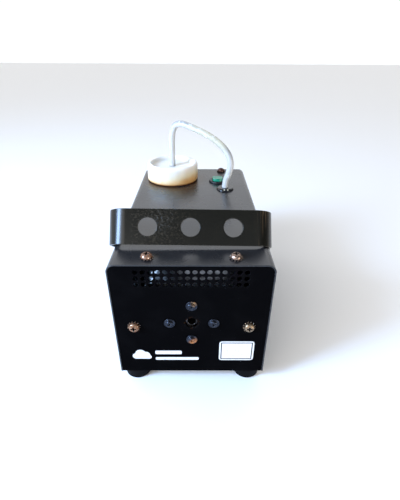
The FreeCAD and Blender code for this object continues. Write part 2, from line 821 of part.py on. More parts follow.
def pump_stand():
    """The bent bracket on the tray, the two rubber dampers and the elbow below the barrel."""
    shelf_top = 43.2
    wall_x = 54.0 - PUMP_X
    half_y = 16.0
    dampers = []
    for side in (-1, 1):
        start = (PUMP_X, PUMP_Y + side * 10.2, shelf_top)
        dampers.append(rod(4.0, start, (0, 0, 1), YOKE_BOTTOM - shelf_top))
    stand = join([
        pump_box((-13, wall_x + SHEET), half_y, (shelf_top - SHEET, shelf_top)),
        pump_box((wall_x, wall_x + SHEET), half_y, (TRAY_TOP, shelf_top)),
        pump_box((wall_x - 9.5, wall_x + SHEET), half_y, (TRAY_TOP, TRAY_TOP + SHEET)),
    ])
    stand = stand.cut(pump_rod(BARREL_RADIUS + CLEAR_GAP, 35, 50))
    for x, y in frame_screw_places()[2:4]:
        stand = stand.cut(rod(M3 + CLEAR_GAP, (x, y, FLOOR), (0, 0, 1), 5))
    channel = 1.2
    front = PUMP_Y - 6
    elbow = cut(pump_box((-5.5, 5.5), 6, (21, 35)), [
        pump_rod(PUMP_TAIL_RADIUS + THREAD_GAP, 31, 36),
        pump_rod(channel, FEED_Z, 32),
        rod(channel, (PUMP_X, PUMP_Y, FEED_Z), (0, -1, 0), 6),
        rod(FEED_RADIUS + THREAD_GAP, (PUMP_X, front + 3, FEED_Z), (0, -1, 0), 4),
    ])
    return {"pump_dampers": dampers, "pump_bracket": [stand], "pump_elbow": [elbow]}


def pump():
    nodes = pump_magnet()
    nodes.update(pump_cylinder())
    nodes.update(pump_stand())
    return nodes


# ---------------------------------------------------------------- heater
def heater_screw_places():
    """The four heater screws in a diamond round the nozzle, as (x, z)."""
    circle = HEATER_SCREW_CIRCLE
    return [
        (0, NOZZLE_HEIGHT + circle),
        (circle, NOZZLE_HEIGHT),
        (0, NOZZLE_HEIGHT - circle),
        (-circle, NOZZLE_HEIGHT),
    ]


def vaporiser_route():
    """Three passes through the block, from the rear inlet to behind the nozzle."""
    z = NOZZLE_HEIGHT
    near = -85.0
    far = -22.0
    return [
        (20, HEATER_BACK + 5, z),
        (20, near, z),
        (10, near, z),
        (10, far, z),
        (0, far, z),
        (0, HEATER_FRONT + 8, z),
    ]


def element_end(x):
    return (x, HEATER_BACK + 6, NOZZLE_HEIGHT)


def element_route():
    """The heating element is one hairpin with both ends behind the block."""
    z = NOZZLE_HEIGHT
    near = -82
    inner_x = -9.5
    outer_x = -21.5
    return [element_end(inner_x), (inner_x, near, z), (outer_x, near, z), element_end(outer_x)]


def clamp_bolt_places():
    return [(x, y) for x in (-28, 28) for y in (-90, -18)]


def heater_block(cavities):
    """The two cast halves, parted at the height of the nozzle."""
    x_range = (-HEATER_HALF, HEATER_HALF)
    y_range = (HEATER_FRONT, HEATER_BACK)
    z = NOZZLE_HEIGHT
    lower = box(x_range, y_range, (z - HEATER_HALF_HEIGHT, z))
    upper = box(x_range, y_range, (z, z + HEATER_HALF_HEIGHT))
    return cut(lower, cavities), cut(upper, cavities)


def clamp_bolt():
    """A socket-head bolt: its head's seat at the origin, the shank on -Z."""
    head_height = 4.0
    head = rod(3.5, (0, 0, 0), (0, 0, 1), head_height)
    socket = hexagon(3, 3)
    socket.translate(Vector(0, 0, head_height / 2))
    shank_length = 2 * HEATER_HALF_HEIGHT - 9.2
    return join([head.cut(socket), rod(M4, (0, 0, -shank_length), (0, 0, 1), shank_length)])


def heater():
    z = NOZZLE_HEIGHT
    tube_bend = 5.0
    element_bend = 6.0
    element_radius = 3.5
    cavities = [
        pipe(vaporiser_route(), VAPORISER_RADIUS + THREAD_GAP, tube_bend),
        pipe(element_route(), element_radius + THREAD_GAP, element_bend),
        rod(NOZZLE_SPIGOT + THREAD_GAP, (0, HEATER_FRONT - 1, z), (0, 1, 0), 9),
    ]
    for x, height in heater_screw_places():
        cavities.append(rod(M4 + THREAD_GAP, (x, HEATER_FRONT - 1, height), (0, 1, 0), 10))
    seat = z + HEATER_HALF_HEIGHT - 4.2
    bolts = []
    for x, y in clamp_bolt_places():
        cavities.append(rod(M4 + THREAD_GAP, (x, y, z - 20), (0, 0, 1), 60))
        cavities.append(rod(3.7, (x, y, seat), (0, 0, 1), 10))
        bolts.append(aim(clamp_bolt(), (x, y, seat), (0, 0, 1)))
    lower, upper = heater_block(cavities)
    return {
        "heater_block_lower": [lower],
        "heater_block_upper": [upper],
        "vaporiser_tube": [pipe(vaporiser_route(), VAPORISER_RADIUS, tube_bend)],
        "heating_element": [pipe(element_route(), element_radius, element_bend)],
        "heater_clamp_bolts": bolts,
    }


def nozzle():
    """The fog outlet: a turned steel nozzle, screwed into the block, its mouth in the panel."""
    mouth_y = FRONT + PANEL_INSET + NOZZLE_RECESS
    z = NOZZLE_HEIGHT
    bore_depth = 8.5
    collar = aim(hexagon(13, 6), (0, HEATER_FRONT, z), (0, -1, 0))
    body = join([
        rod(4.8, (0, mouth_y, z), (0, 1, 0), HEATER_FRONT - mouth_y),
        rod(NOZZLE_SPIGOT, (0, HEATER_FRONT, z), (0, 1, 0), 8),
        collar,
    ])
    return cut(body, [
        rod(3.7, (0, mouth_y - 1, z), (0, 1, 0), bore_depth + 1),
        rod(0.9, (0, mouth_y, z), (0, 1, 0), 30),
    ])


def heater_fixings():
    panel_face = FRONT + PANEL_INSET
    gap_start = FRONT + PANEL_BACK
    gap = HEATER_FRONT - gap_start
    screw = flange_screw(M4, HEATER_FRONT + 8 - panel_face)
    standoffs = []
    screws = []
    for x, z in heater_screw_places():
        standoffs.append(ring(4, M4 + CLEAR_GAP, (x, gap_start, z), (0, 1, 0), gap))
        screws.append(aim(screw, (x, panel_face, z), (0, -1, 0)))
    return {"heater_standoffs": standoffs, "heater_screws": screws}


def heater_insulation():
    """The blanket round the four long sides of the block."""
    gap = 0.2
    thickness = 5.0
    inner_half = HEATER_HALF + gap
    inner_height = HEATER_HALF_HEIGHT + gap
    z = NOZZLE_HEIGHT
    length = (HEATER_FRONT + 3, HEATER_BACK - 3)
    outer_half = inner_half + thickness
    outer_height = inner_height + thickness
    outer = box((-outer_half, outer_half), length, (z - outer_height, z + outer_height))
    long_edges = [edge for edge in outer.Edges if edge.BoundBox.YLength > 1]
    outer = outer.makeFillet(4, long_edges)
    inner = box((-inner_half, inner_half), (-120, 0), (z - inner_height, z + inner_height))
    return outer.cut(inner)


def heater_support():
    """A bent strip that carries the rear of the heater above the tray."""
    top = NOZZLE_HEIGHT - HEATER_HALF_HEIGHT - 5.2
    y_range = (-26, -14)
    parts = [box((-21, 21), y_range, (top - SHEET, top))]
    for side in (-1, 1):
        leg = sorted((side * 21, side * (21 - SHEET)))
        foot = sorted((side * 31, side * (21 - SHEET)))
        parts.append(box(leg, y_range, (TRAY_TOP, top)))
        parts.append(box(foot, y_range, (TRAY_TOP, TRAY_TOP + SHEET)))
    shape = join(parts)
    for x, y in frame_screw_places()[4:]:
        shape = shape.cut(rod(M3 + CLEAR_GAP, (x, y, FLOOR), (0, 0, 1), 5))
    return shape


def heater_safety():
    """The thermostat disc and the thermal fuse, both against the block's rear face."""
    disc_z = NOZZLE_HEIGHT + 13.5
    tab_y = (HEATER_BACK + 6, HEATER_BACK + 6.8)
    tab_z = (disc_z - 2.5, disc_z + 2.5)
    thermostat = join([
        rod(8, (0, HEATER_BACK, disc_z), (0, 1, 0), 3),
        rod(6, (0, HEATER_BACK, disc_z), (0, 1, 0), 7),
        box((-7.5, -4), tab_y, tab_z),
        box((4, 7.5), tab_y, tab_z),
    ])
    fuse_radius = 2.2
    fuse_y = HEATER_BACK + fuse_radius + THREAD_GAP
    fuse_z = NOZZLE_HEIGHT - 14
    fuse = join([
        rod(fuse_radius, (-7, fuse_y, fuse_z), (1, 0, 0), 14),
        rod(0.6, (-14, fuse_y, fuse_z), (1, 0, 0), 28),
    ])
    return {"thermostat": [thermostat], "thermal_fuse": [fuse]}


def feed_line():
    """The steel tube from the pump's elbow, through the bulkhead, up to the heater's inlet."""
    z = NOZZLE_HEIGHT
    inlet_x = vaporiser_route()[0][0]
    joint_y = HEATER_BACK + 5
    rise_y = 4
    route = [
        (PUMP_X, PUMP_Y - 3, FEED_Z),
        (PUMP_X, rise_y, FEED_Z),
        (PUMP_X, rise_y, z),
        (inlet_x, rise_y, z),
        (inlet_x, joint_y, z),
    ]
    nut = aim(hexagon(9, 5.5), (inlet_x, joint_y - 3, z), (0, 1, 0))
    nut = cut(nut, [
        rod(VAPORISER_RADIUS + THREAD_GAP, (inlet_x, joint_y - 4, z), (0, 1, 0), 4),
        rod(FEED_RADIUS + THREAD_GAP, (inlet_x, joint_y - 1, z), (0, 1, 0), 5),
    ])
    return {"feed_tube": [pipe(route, FEED_RADIUS, 6.0)], "feed_nut": [nut]}


# ---------------------------------------------------------------- switch and rear connectors
def power_switch():
    bezel_top = TOP + 2.2
    barrel_bottom = 106.0
    pivot_z = TOP - 2.6
    rocker_half = 6.0
    rocker_reach = 8.4

    def upright(radius, low, high):
        return rod(radius, (SWITCH_X, SWITCH_Y, low), (0, 0, 1), high - low)

    bezel = upright(SWITCH_BEZEL, TOP, bezel_top)
    rim = [edge for edge in bezel.Edges if edge.BoundBox.ZMin > bezel_top - 0.01]
    bezel = bezel.makeChamfer(0.8, rim)
    pocket_half = rocker_half + 0.2
    pocket_z = (118, 140)
    pocket_x = (SWITCH_X - pocket_half, SWITCH_X + pocket_half)
    pocket_slab = box(pocket_x, (SWITCH_Y - 20, SWITCH_Y + 20), pocket_z)
    pocket = upright(rocker_reach + 0.75, *pocket_z).common(pocket_slab)
    pin_hole = rod(1.3, (SWITCH_X - 7.4, SWITCH_Y, pivot_z), (1, 0, 0), 14.8)
    body = join([bezel, upright(SWITCH_BARREL, barrel_bottom, TOP)])
    for i in (-1, 0, 1):
        x = SWITCH_X + i * SWITCH_TAB_PITCH
        tab_y = (SWITCH_Y - 2.4, SWITCH_Y + 2.4)
        body = body.fuse(box((x - 0.4, x + 0.4), tab_y, (SWITCH_TAB_END, barrel_bottom)))
    body = body.cut(pocket).cut(pin_hole)

    outline = [
        (-rocker_reach, -1.5),
        (-rocker_reach, 7.2),
        (0, 5.9),
        (rocker_reach, 7.2),
        (rocker_reach, -1.5),
        (4.0, -4.6),
        (-4.0, -4.6),
    ]
    corners = [Vector(-rocker_half, y, z) for y, z in outline]
    block = Part.Face(Part.makePolygon(corners + corners[:1])).extrude(Vector(2 * rocker_half, 0, 0))
    rocker = block.common(rod(rocker_reach, (0, 0, -10), (0, 0, 1), 20))
    rocker = rocker.fuse(rod(1.2, (-7.2, 0, 0), (1, 0, 0), 14.4))
    rocker.rotate(Vector(0, 0, 0), Vector(1, 0, 0), -SWITCH_TILT)
    rocker.translate(Vector(SWITCH_X, SWITCH_Y, pivot_z))
    return {"switch_body": [body], "switch_rocker": [rocker]}


def inlet_pin_places():
    """The three pins of the inlet, as (x, z): live, neutral and the raised earth between them."""
    return [(INLET_X - 7, INLET_Z - 9), (INLET_X + 7, INLET_Z - 9), (INLET_X, INLET_Z - 5)]


def inlet_box(half_x, y_range, z_range):
    """A block centred on the inlet in X, with z_range measured from the inlet's middle."""
    z_place = (INLET_Z + z_range[0], INLET_Z + z_range[1])
    return box((INLET_X - half_x, INLET_X + half_x), y_range, z_place)


def inlet_fixings():
    """The two small screws through the inlet's ears, with their nuts behind the panel."""
    screw = pan_screw(M3, 8, 2.6, 0.9)
    nut = hexagon(5.5, 2.2).cut(rod(M3 + THREAD_GAP, (0, 0, -1), (0, 0, 1), 5))
    pieces = []
    for side in (-1, 1):
        x = INLET_X + side * INLET_EAR
        pieces.append(aim(screw, (x, INLET_FACE, INLET_Z), (0, 1, 0)))
        pieces.append(aim(nut, (x, BACK - PANEL_BACK, INLET_Z), (0, -1, 0)))
    return pieces


def mains_inlet():
    """The inlet housing: a flange with two ears, a plug bay below and a fuse drawer bay above."""
    seat = BACK - PANEL_INSET
    flange_y = (seat, INLET_FACE)
    plug_floor = INLET_FACE - 17
    flange = join([
        rounded_box_y((INLET_X - 15, INLET_X + 15), flange_y, (INLET_Z - 19, INLET_Z + 19), 3),
        rounded_box_y((INLET_X - 25, INLET_X + 25), flange_y, (INLET_Z - 7, INLET_Z + 7), 5),
    ])
    body = inlet_box(13.5, (INLET_BACK, seat), (-17, 17))
    holes = [
        inlet_box(12.1, (plug_floor, INLET_FACE + 1), (-15.3, 1.3)),
        inlet_box(11.2, (INLET_FACE - 20.4, INLET_FACE + 1), (4.8, 15.2)),
    ]
    pins = []
    for x, z in inlet_pin_places():
        z_range = (z - 2, z + 2)
        slot = box((x - 1.05, x + 1.05), (INLET_BACK - 1, plug_floor + 1), (z - 2.05, z + 2.05))
        blade = box((x - 1, x + 1), (INLET_BACK - 1, INLET_FACE - 2), z_range)
        tab = box((x - 0.4, x + 0.4), (INLET_BACK - INLET_TAB, INLET_BACK), z_range)
        holes.append(slot)
        pins.append(join([blade, tab]))
    for side in (-1, 1):
        at = (INLET_X + side * INLET_EAR, seat - 1, INLET_Z)
        holes.append(rod(M3 + CLEAR_GAP, at, (0, 1, 0), 6))
    return {
        "mains_inlet": [cut(join([flange, body]), holes)],
        "inlet_pins": pins,
        "connector_fixings": inlet_fixings() + [jack_nut()],
    }


def fuse_drawer():
    """The drawer slides out backwards with its glass fuse."""
    front = INLET_FACE + 0.1
    fuse_y = INLET_FACE - 9
    body = join([
        inlet_box(11, (INLET_FACE - 20, front), (5, 15)),
        inlet_box(11.8, (front, INLET_FACE + 1.4), (4.2, 15.8)),
    ])
    bay = inlet_box(10.2, (fuse_y - 3.2, fuse_y + 3.2), (7.6, 16))
    glass = rod(2.5, (INLET_X - 10, fuse_y, INLET_Z + 10.5), (1, 0, 0), 20)
    return {"fuse_drawer": [body.cut(bay)], "glass_fuse": [glass]}


def remote_jack():
    """The jack socket for a wired remote control, held by a nut outside the rear panel."""
    wall = BACK - PANEL_BACK
    bore_depth = 18
    body = join([
        box((JACK_X - 8, JACK_X + 8), (wall - 20, wall), (JACK_Z - 8, JACK_Z + 8)),
        rod(JACK_NECK, (JACK_X, wall, JACK_Z), (0, 1, 0), SHEET + 3),
    ])
    return body.cut(rod(JACK_BORE, (JACK_X, wall - bore_depth, JACK_Z), (0, 1, 0), bore_depth + 12))


def jack_nut():
    nut = aim(hexagon(12, 2), (JACK_X, BACK - PANEL_INSET, JACK_Z), (0, 1, 0))
    return nut.cut(rod(JACK_NECK + THREAD_GAP, (JACK_X, BACK - 5, JACK_Z), (0, 1, 0), 12))


def terminal_block():
    """Four screw terminals in a row, each with a screw well at both ends."""
    rows = (26, 33)
    top = TERMINAL_TOP
    block = box((-50, TERMINAL_SIDE), (22, 37), (TRAY_TOP, top))
    for i in range(4):
        x = -44 + 10 * i
        for y in rows:
            block = block.cut(rod(2.4, (x, y, top - 5), (0, 0, 1), 6))
        block = block.cut(box((x - 4.4, x - 4.0), (21, 38), (top - 7, top + 1)))
    return block


# ---------------------------------------------------------------- wiring
def wiring():
    """Insulated leads. Each is a list of corners, joined by short bends."""
    lead_radius = 1.1
    bend = 4.0
    tab_y = INLET_BACK - INLET_TAB
    (live_x, pin_z), (neutral_x, _), (earth_x, earth_z) = inlet_pin_places()
    tab_x = SWITCH_X - SWITCH_TAB_PITCH
    tab_z = SWITCH_TAB_END
    inlet_to_switch = [
        (live_x, tab_y, pin_z),
        (live_x, 79, pin_z),
        (live_x, 79, 92),
        (tab_x, 79, 92),
        (tab_x, SWITCH_Y, 92),
        (tab_x, SWITCH_Y, tab_z),
    ]
    live_lane = 12.5
    switch_to_terminal = [
        (SWITCH_X, SWITCH_Y, tab_z),
        (SWITCH_X, SWITCH_Y, 88),
        (live_lane, SWITCH_Y, 88),
        (live_lane, 31, 88),
        (live_lane, 31, 21),
        (TERMINAL_SIDE, 31, 21),
    ]
    neutral_lane = 15.5
    inlet_to_terminal = [
        (neutral_x, tab_y, pin_z),
        (neutral_x, 78, pin_z),
        (neutral_x, 78, 17),
        (neutral_lane, 78, 17),
        (neutral_lane, 26, 17),
        (TERMINAL_SIDE, 26, 17),
    ]
    inlet_to_tray = [
        (earth_x, tab_y, earth_z),
        (earth_x, 82, earth_z),
        (earth_x, 82, TRAY_TOP + 2),
        (earth_x + 8, 82, TRAY_TOP + 2),
    ]

    def terminal_to_element(terminal_x, element_x):
        """Up from the terminal block, through the bulkhead's window, to an end of the element."""
        window_z = 36
        return [
            (terminal_x, 26, TERMINAL_TOP),
            (terminal_x, 26, window_z),
            (element_x, 8, window_z),
            (element_x, 8, 60),
            (element_x, 4, NOZZLE_HEIGHT),
            element_end(element_x),
        ]

    start, *_, end = element_route()
    routes = {
        "live_wires": [inlet_to_switch, switch_to_terminal, terminal_to_element(-14, start[0])],
        "neutral_wires": [inlet_to_terminal, terminal_to_element(-24, end[0])],
        "earth_wires": [inlet_to_tray],
    }
    nodes = {}
    for name, leads in routes.items():
        nodes[name] = [pipe(lead, lead_radius, bend) for lead in leads]
    return nodes


# ---------------------------------------------------------------- the whole machine
def whole_machine():
    nodes = {
        "front_panel": [front_panel()],
        "rear_panel": [rear_panel()],
        "top_cover": [top_cover()],
        "base_tray": [base_tray()],
        "bulkhead": [bulkhead()],
        "frame_screws": frame_screws(),
        "bracket": [bracket()],
        "bottle_pad": [bottle_pad()],
        "fluid_bottle": [fluid_bottle()],
        "fluid_cap": [fluid_cap()],
        "cap_gasket": [cap_gasket()],
        "hose": [hose()],
        "hose_grommet": [hose_grommet()],
        "nozzle": [nozzle()],
        "heater_insulation": [heater_insulation()],
        "heater_support": [heater_support()],
        "terminal_block": [terminal_block()],
        "remote_jack": [remote_jack()],
    }
    groups = (
        housing_fasteners,
        feet,
        pivots,
        inner_hoses,
        pump,
        heater,
        heater_fixings,
        heater_safety,
        feed_line,
        power_switch,
        mains_inlet,
        fuse_drawer,
        wiring,
    )
    for group in groups:
        nodes.update(group())
    return nodes


def main():
    os.makedirs("parts", exist_ok=True)
    nodes = whole_machine()
    for name, solids in nodes.items():
        shape = solids[0] if len(solids) == 1 else Part.makeCompound(solids)
        shape.exportStep("parts/" + name + ".step")
    print(len(nodes), "nodes")


main()
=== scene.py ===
import json
import math

import bmesh
import bpy
from mathutils import Matrix, Vector, noise


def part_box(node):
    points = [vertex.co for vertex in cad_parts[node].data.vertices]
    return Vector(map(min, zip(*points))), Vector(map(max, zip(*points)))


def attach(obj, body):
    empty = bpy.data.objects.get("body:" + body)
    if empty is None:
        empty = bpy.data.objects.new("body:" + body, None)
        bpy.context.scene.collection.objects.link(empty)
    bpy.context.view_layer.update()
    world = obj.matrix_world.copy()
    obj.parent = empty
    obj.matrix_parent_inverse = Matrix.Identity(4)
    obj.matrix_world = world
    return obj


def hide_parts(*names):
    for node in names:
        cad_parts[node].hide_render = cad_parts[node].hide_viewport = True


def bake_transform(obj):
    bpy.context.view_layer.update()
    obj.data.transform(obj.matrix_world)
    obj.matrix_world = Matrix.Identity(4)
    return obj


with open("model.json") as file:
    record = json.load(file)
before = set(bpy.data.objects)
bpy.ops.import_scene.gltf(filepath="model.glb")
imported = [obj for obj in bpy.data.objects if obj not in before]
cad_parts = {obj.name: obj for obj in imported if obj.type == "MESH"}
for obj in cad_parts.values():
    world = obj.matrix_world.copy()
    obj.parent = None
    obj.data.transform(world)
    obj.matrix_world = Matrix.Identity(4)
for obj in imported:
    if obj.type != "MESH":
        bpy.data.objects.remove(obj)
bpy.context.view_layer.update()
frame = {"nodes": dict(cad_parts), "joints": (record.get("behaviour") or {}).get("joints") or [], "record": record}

MM = 0.001

# ---------------------------------------------------------------- places taken from the frame
cover_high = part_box("top_cover")[1]
panel_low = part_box("front_panel")[0]
cap_low, cap_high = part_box("fluid_cap")
grommet_low, grommet_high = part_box("hose_grommet")
nozzle_low, nozzle_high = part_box("nozzle")
strap_low, strap_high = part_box("bracket")

COVER_TOP = cover_high.z
PANEL_FACE = panel_low.y
PANEL_BOTTOM = panel_low.z
CAP_AXIS = (cap_low + cap_high) / 2
GROMMET_AXIS = (grommet_low + grommet_high) / 2
NOZZLE_AXIS = (nozzle_low + nozzle_high) / 2


# ---------------------------------------------------------------- camera, light and floor
CAMERA_PLACE = Vector((5.2, -329.5, 270.1)) * MM
CAMERA_PITCH = math.radians(30.92)  # down from level
CAMERA_YAW = math.radians(-0.37)
CAMERA_ROLL = math.radians(0.35)
LENS = 24.70  # in mm, for a sensor 36 mm wide
SENSOR_WIDTH = 36.0
NEAREST_IN_VIEW = 0.01
LIT_MIDDLE = (0.0, 0.0, 0.08)  # where the lamps point
BACKDROP_LEVEL = 1.1  # the plain pale wall that the camera sees from every side
FLOOR_REACH = 6.0


def camera():
    """Stands in front of the machine and looks down at it, a little off its middle line."""
    data = bpy.data.cameras.new("camera")
    data.lens = LENS
    data.sensor_width = SENSOR_WIDTH
    data.clip_start = NEAREST_IN_VIEW
    eye = bpy.data.objects.new("camera", data)
    turn = Matrix.Rotation(CAMERA_YAW, 4, "Z")
    turn = turn @ Matrix.Rotation(math.pi / 2 - CAMERA_PITCH, 4, "X")
    turn = turn @ Matrix.Rotation(CAMERA_ROLL, 4, "Z")
    eye.matrix_world = Matrix.Translation(CAMERA_PLACE) @ turn
    bpy.context.scene.collection.objects.link(eye)
    bpy.context.scene.camera = eye


def area_light(name, place, target, size, radiance, colour):
    """A softbox the camera cannot see. Its brightness is a radiance, so its size can change alone."""
    data = bpy.data.lights.new(name, "AREA")
    data.shape = "RECTANGLE"
    data.size, data.size_y = size
    data.energy = radiance * math.pi * size[0] * size[1]
    data.color = colour
    lamp = bpy.data.objects.new(name, data)
    lamp.location = place
    lamp.rotation_euler = (Vector(target) - Vector(place)).to_track_quat("-Z", "Y").to_euler()
    lamp.visible_camera = False
    bpy.context.scene.collection.objects.link(lamp)


def sun(name, direction, strength, spread, colour):
    """A distant light that shines along a direction. A wider spread, in degrees, softens shadows."""
    data = bpy.data.lights.new(name, "SUN")
    data.energy = strength
    data.color = colour
    data.angle = math.radians(spread)
    lamp = bpy.data.objects.new(name, data)
    lamp.rotation_euler = Vector(direction).to_track_quat("-Z", "Y").to_euler()
    bpy.context.scene.collection.objects.link(lamp)


def world_light():
    """A white surround, dimmer in front and on the right, with a bright band low behind."""
    world = bpy.data.worlds.new("studio")
    world.use_nodes = True
    tree = world.node_tree
    background = tree.nodes["Background"]
    split = tree.nodes.new("ShaderNodeSeparateXYZ")
    tree.links.new(tree.nodes.new("ShaderNodeTexCoord").outputs["Generated"], split.inputs[0])

    def ramp(axis, low, high, level_low, level_high):
        """The level of light, which changes smoothly as the view direction goes from low to high."""
        node = tree.nodes.new("ShaderNodeMapRange")
        node.interpolation_type = "SMOOTHSTEP"
        tree.links.new(split.outputs[axis], node.inputs["Value"])
        node.inputs["From Min"].default_value = low
        node.inputs["From Max"].default_value = high
        node.inputs["To Min"].default_value = level_low
        node.inputs["To Max"].default_value = level_high
        return node.outputs[0]

    def times(first, second):
        node = tree.nodes.new("ShaderNodeMath")
        node.operation = "MULTIPLY"
        tree.links.new(first, node.inputs[0])
        tree.links.new(second, node.inputs[1])
        return node.outputs[0]

    front_to_back = ramp("Y", low=-0.3, high=0.15, level_low=0.34, level_high=1.1)
    up_to_band = ramp("Z", low=0.28, high=0.54, level_low=1.0, level_high=1.95)
    above_band = ramp("Z", low=0.56, high=0.75, level_low=1.0, level_high=0.3)
    to_the_right = ramp("X", low=0.45, high=0.8, level_low=1.0, level_high=0.2)
    band = times(up_to_band, above_band)
    level = times(times(front_to_back, band), to_the_right)
    background.inputs["Color"].default_value = (0.945, 0.965, 1.0, 1.0)
    seen_directly = tree.nodes.new("ShaderNodeLightPath").outputs["Is Camera Ray"]
    backdrop = tree.nodes.new("ShaderNodeMix")
    tree.links.new(seen_directly, backdrop.inputs["Factor"])
    tree.links.new(level, backdrop.inputs["A"])
    backdrop.inputs["B"].default_value = BACKDROP_LEVEL
    tree.links.new(backdrop.outputs[0], background.inputs["Strength"])
    bpy.context.scene.world = world


def glow_in_vents(across, width, radiance, colour):
    """Daylight that reaches the foil through the vents, as a small lamp hung just above it."""
    behind_vents, above_foil, depth, tilt = 38 * MM, 13 * MM, 8 * MM, 0.1 * MM
    heater_low, heater_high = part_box("heater_insulation")
    back = heater_low.y + behind_vents
    above = (across * MM, back, heater_high.z + above_foil)
    below = (across * MM, back + tilt, heater_high.z)
    area_light("vent_glow", above, below, (width * MM, depth), radiance, colour)


def studio():
    """A warm key from the left behind the camera, a cool window on the left, a fill on the right."""
    world_light()
    sun("key", direction=(0.72, 0.82, -0.40), strength=1.75, spread=56, colour=(1.0, 0.95, 0.88))
    area_light(
        "left_window", place=(-0.78, -0.44, 0.55), target=LIT_MIDDLE, size=(0.26, 0.40),
        radiance=50.0, colour=(0.43, 0.65, 1.0),
    )
    area_light(
        "blue_sky", place=(-0.80, -0.45, 0.56), target=LIT_MIDDLE, size=(0.50, 0.60),
        radiance=4.5, colour=(0.34, 0.56, 1.0),
    )
    area_light(
        "right_fill", place=(0.75, -0.75, 0.12), target=LIT_MIDDLE, size=(0.5, 0.3),
        radiance=12.0, colour=(1.0, 0.97, 0.92),
    )
    glow_in_vents(across=11, width=40, radiance=1.0, colour=(0.82, 0.9, 1.0))
    glow_in_vents(across=-45, width=13, radiance=15.0, colour=(0.5, 0.72, 1.0))
    bpy.context.scene.view_settings.view_transform = "Standard"


def floor():
    """A large pale sheet that the machine stands on."""
    mesh = bpy.data.meshes.new("studio_floor")
    corners = [(FLOOR_REACH * x, FLOOR_REACH * y, 0) for x, y in ((-1, -1), (1, -1), (1, 1), (-1, 1))]
    mesh.from_pydata(corners, [], [(0, 1, 2, 3)])
    sheet = bpy.data.objects.new("studio_floor", mesh)
    bpy.context.scene.collection.objects.link(sheet)
    return sheet


# ---------------------------------------------------------------- procedural finishes
EDGE_SAMPLES = 4
CREVICE_SAMPLES = 8
SPECK_CORE = 0.6  # the part of a speck's radius that is fully covered
MIX_MASK, MIX_BELOW, MIX_ABOVE, MIX_RESULT = 0, 6, 7, 2  # the colour sockets of a mix node


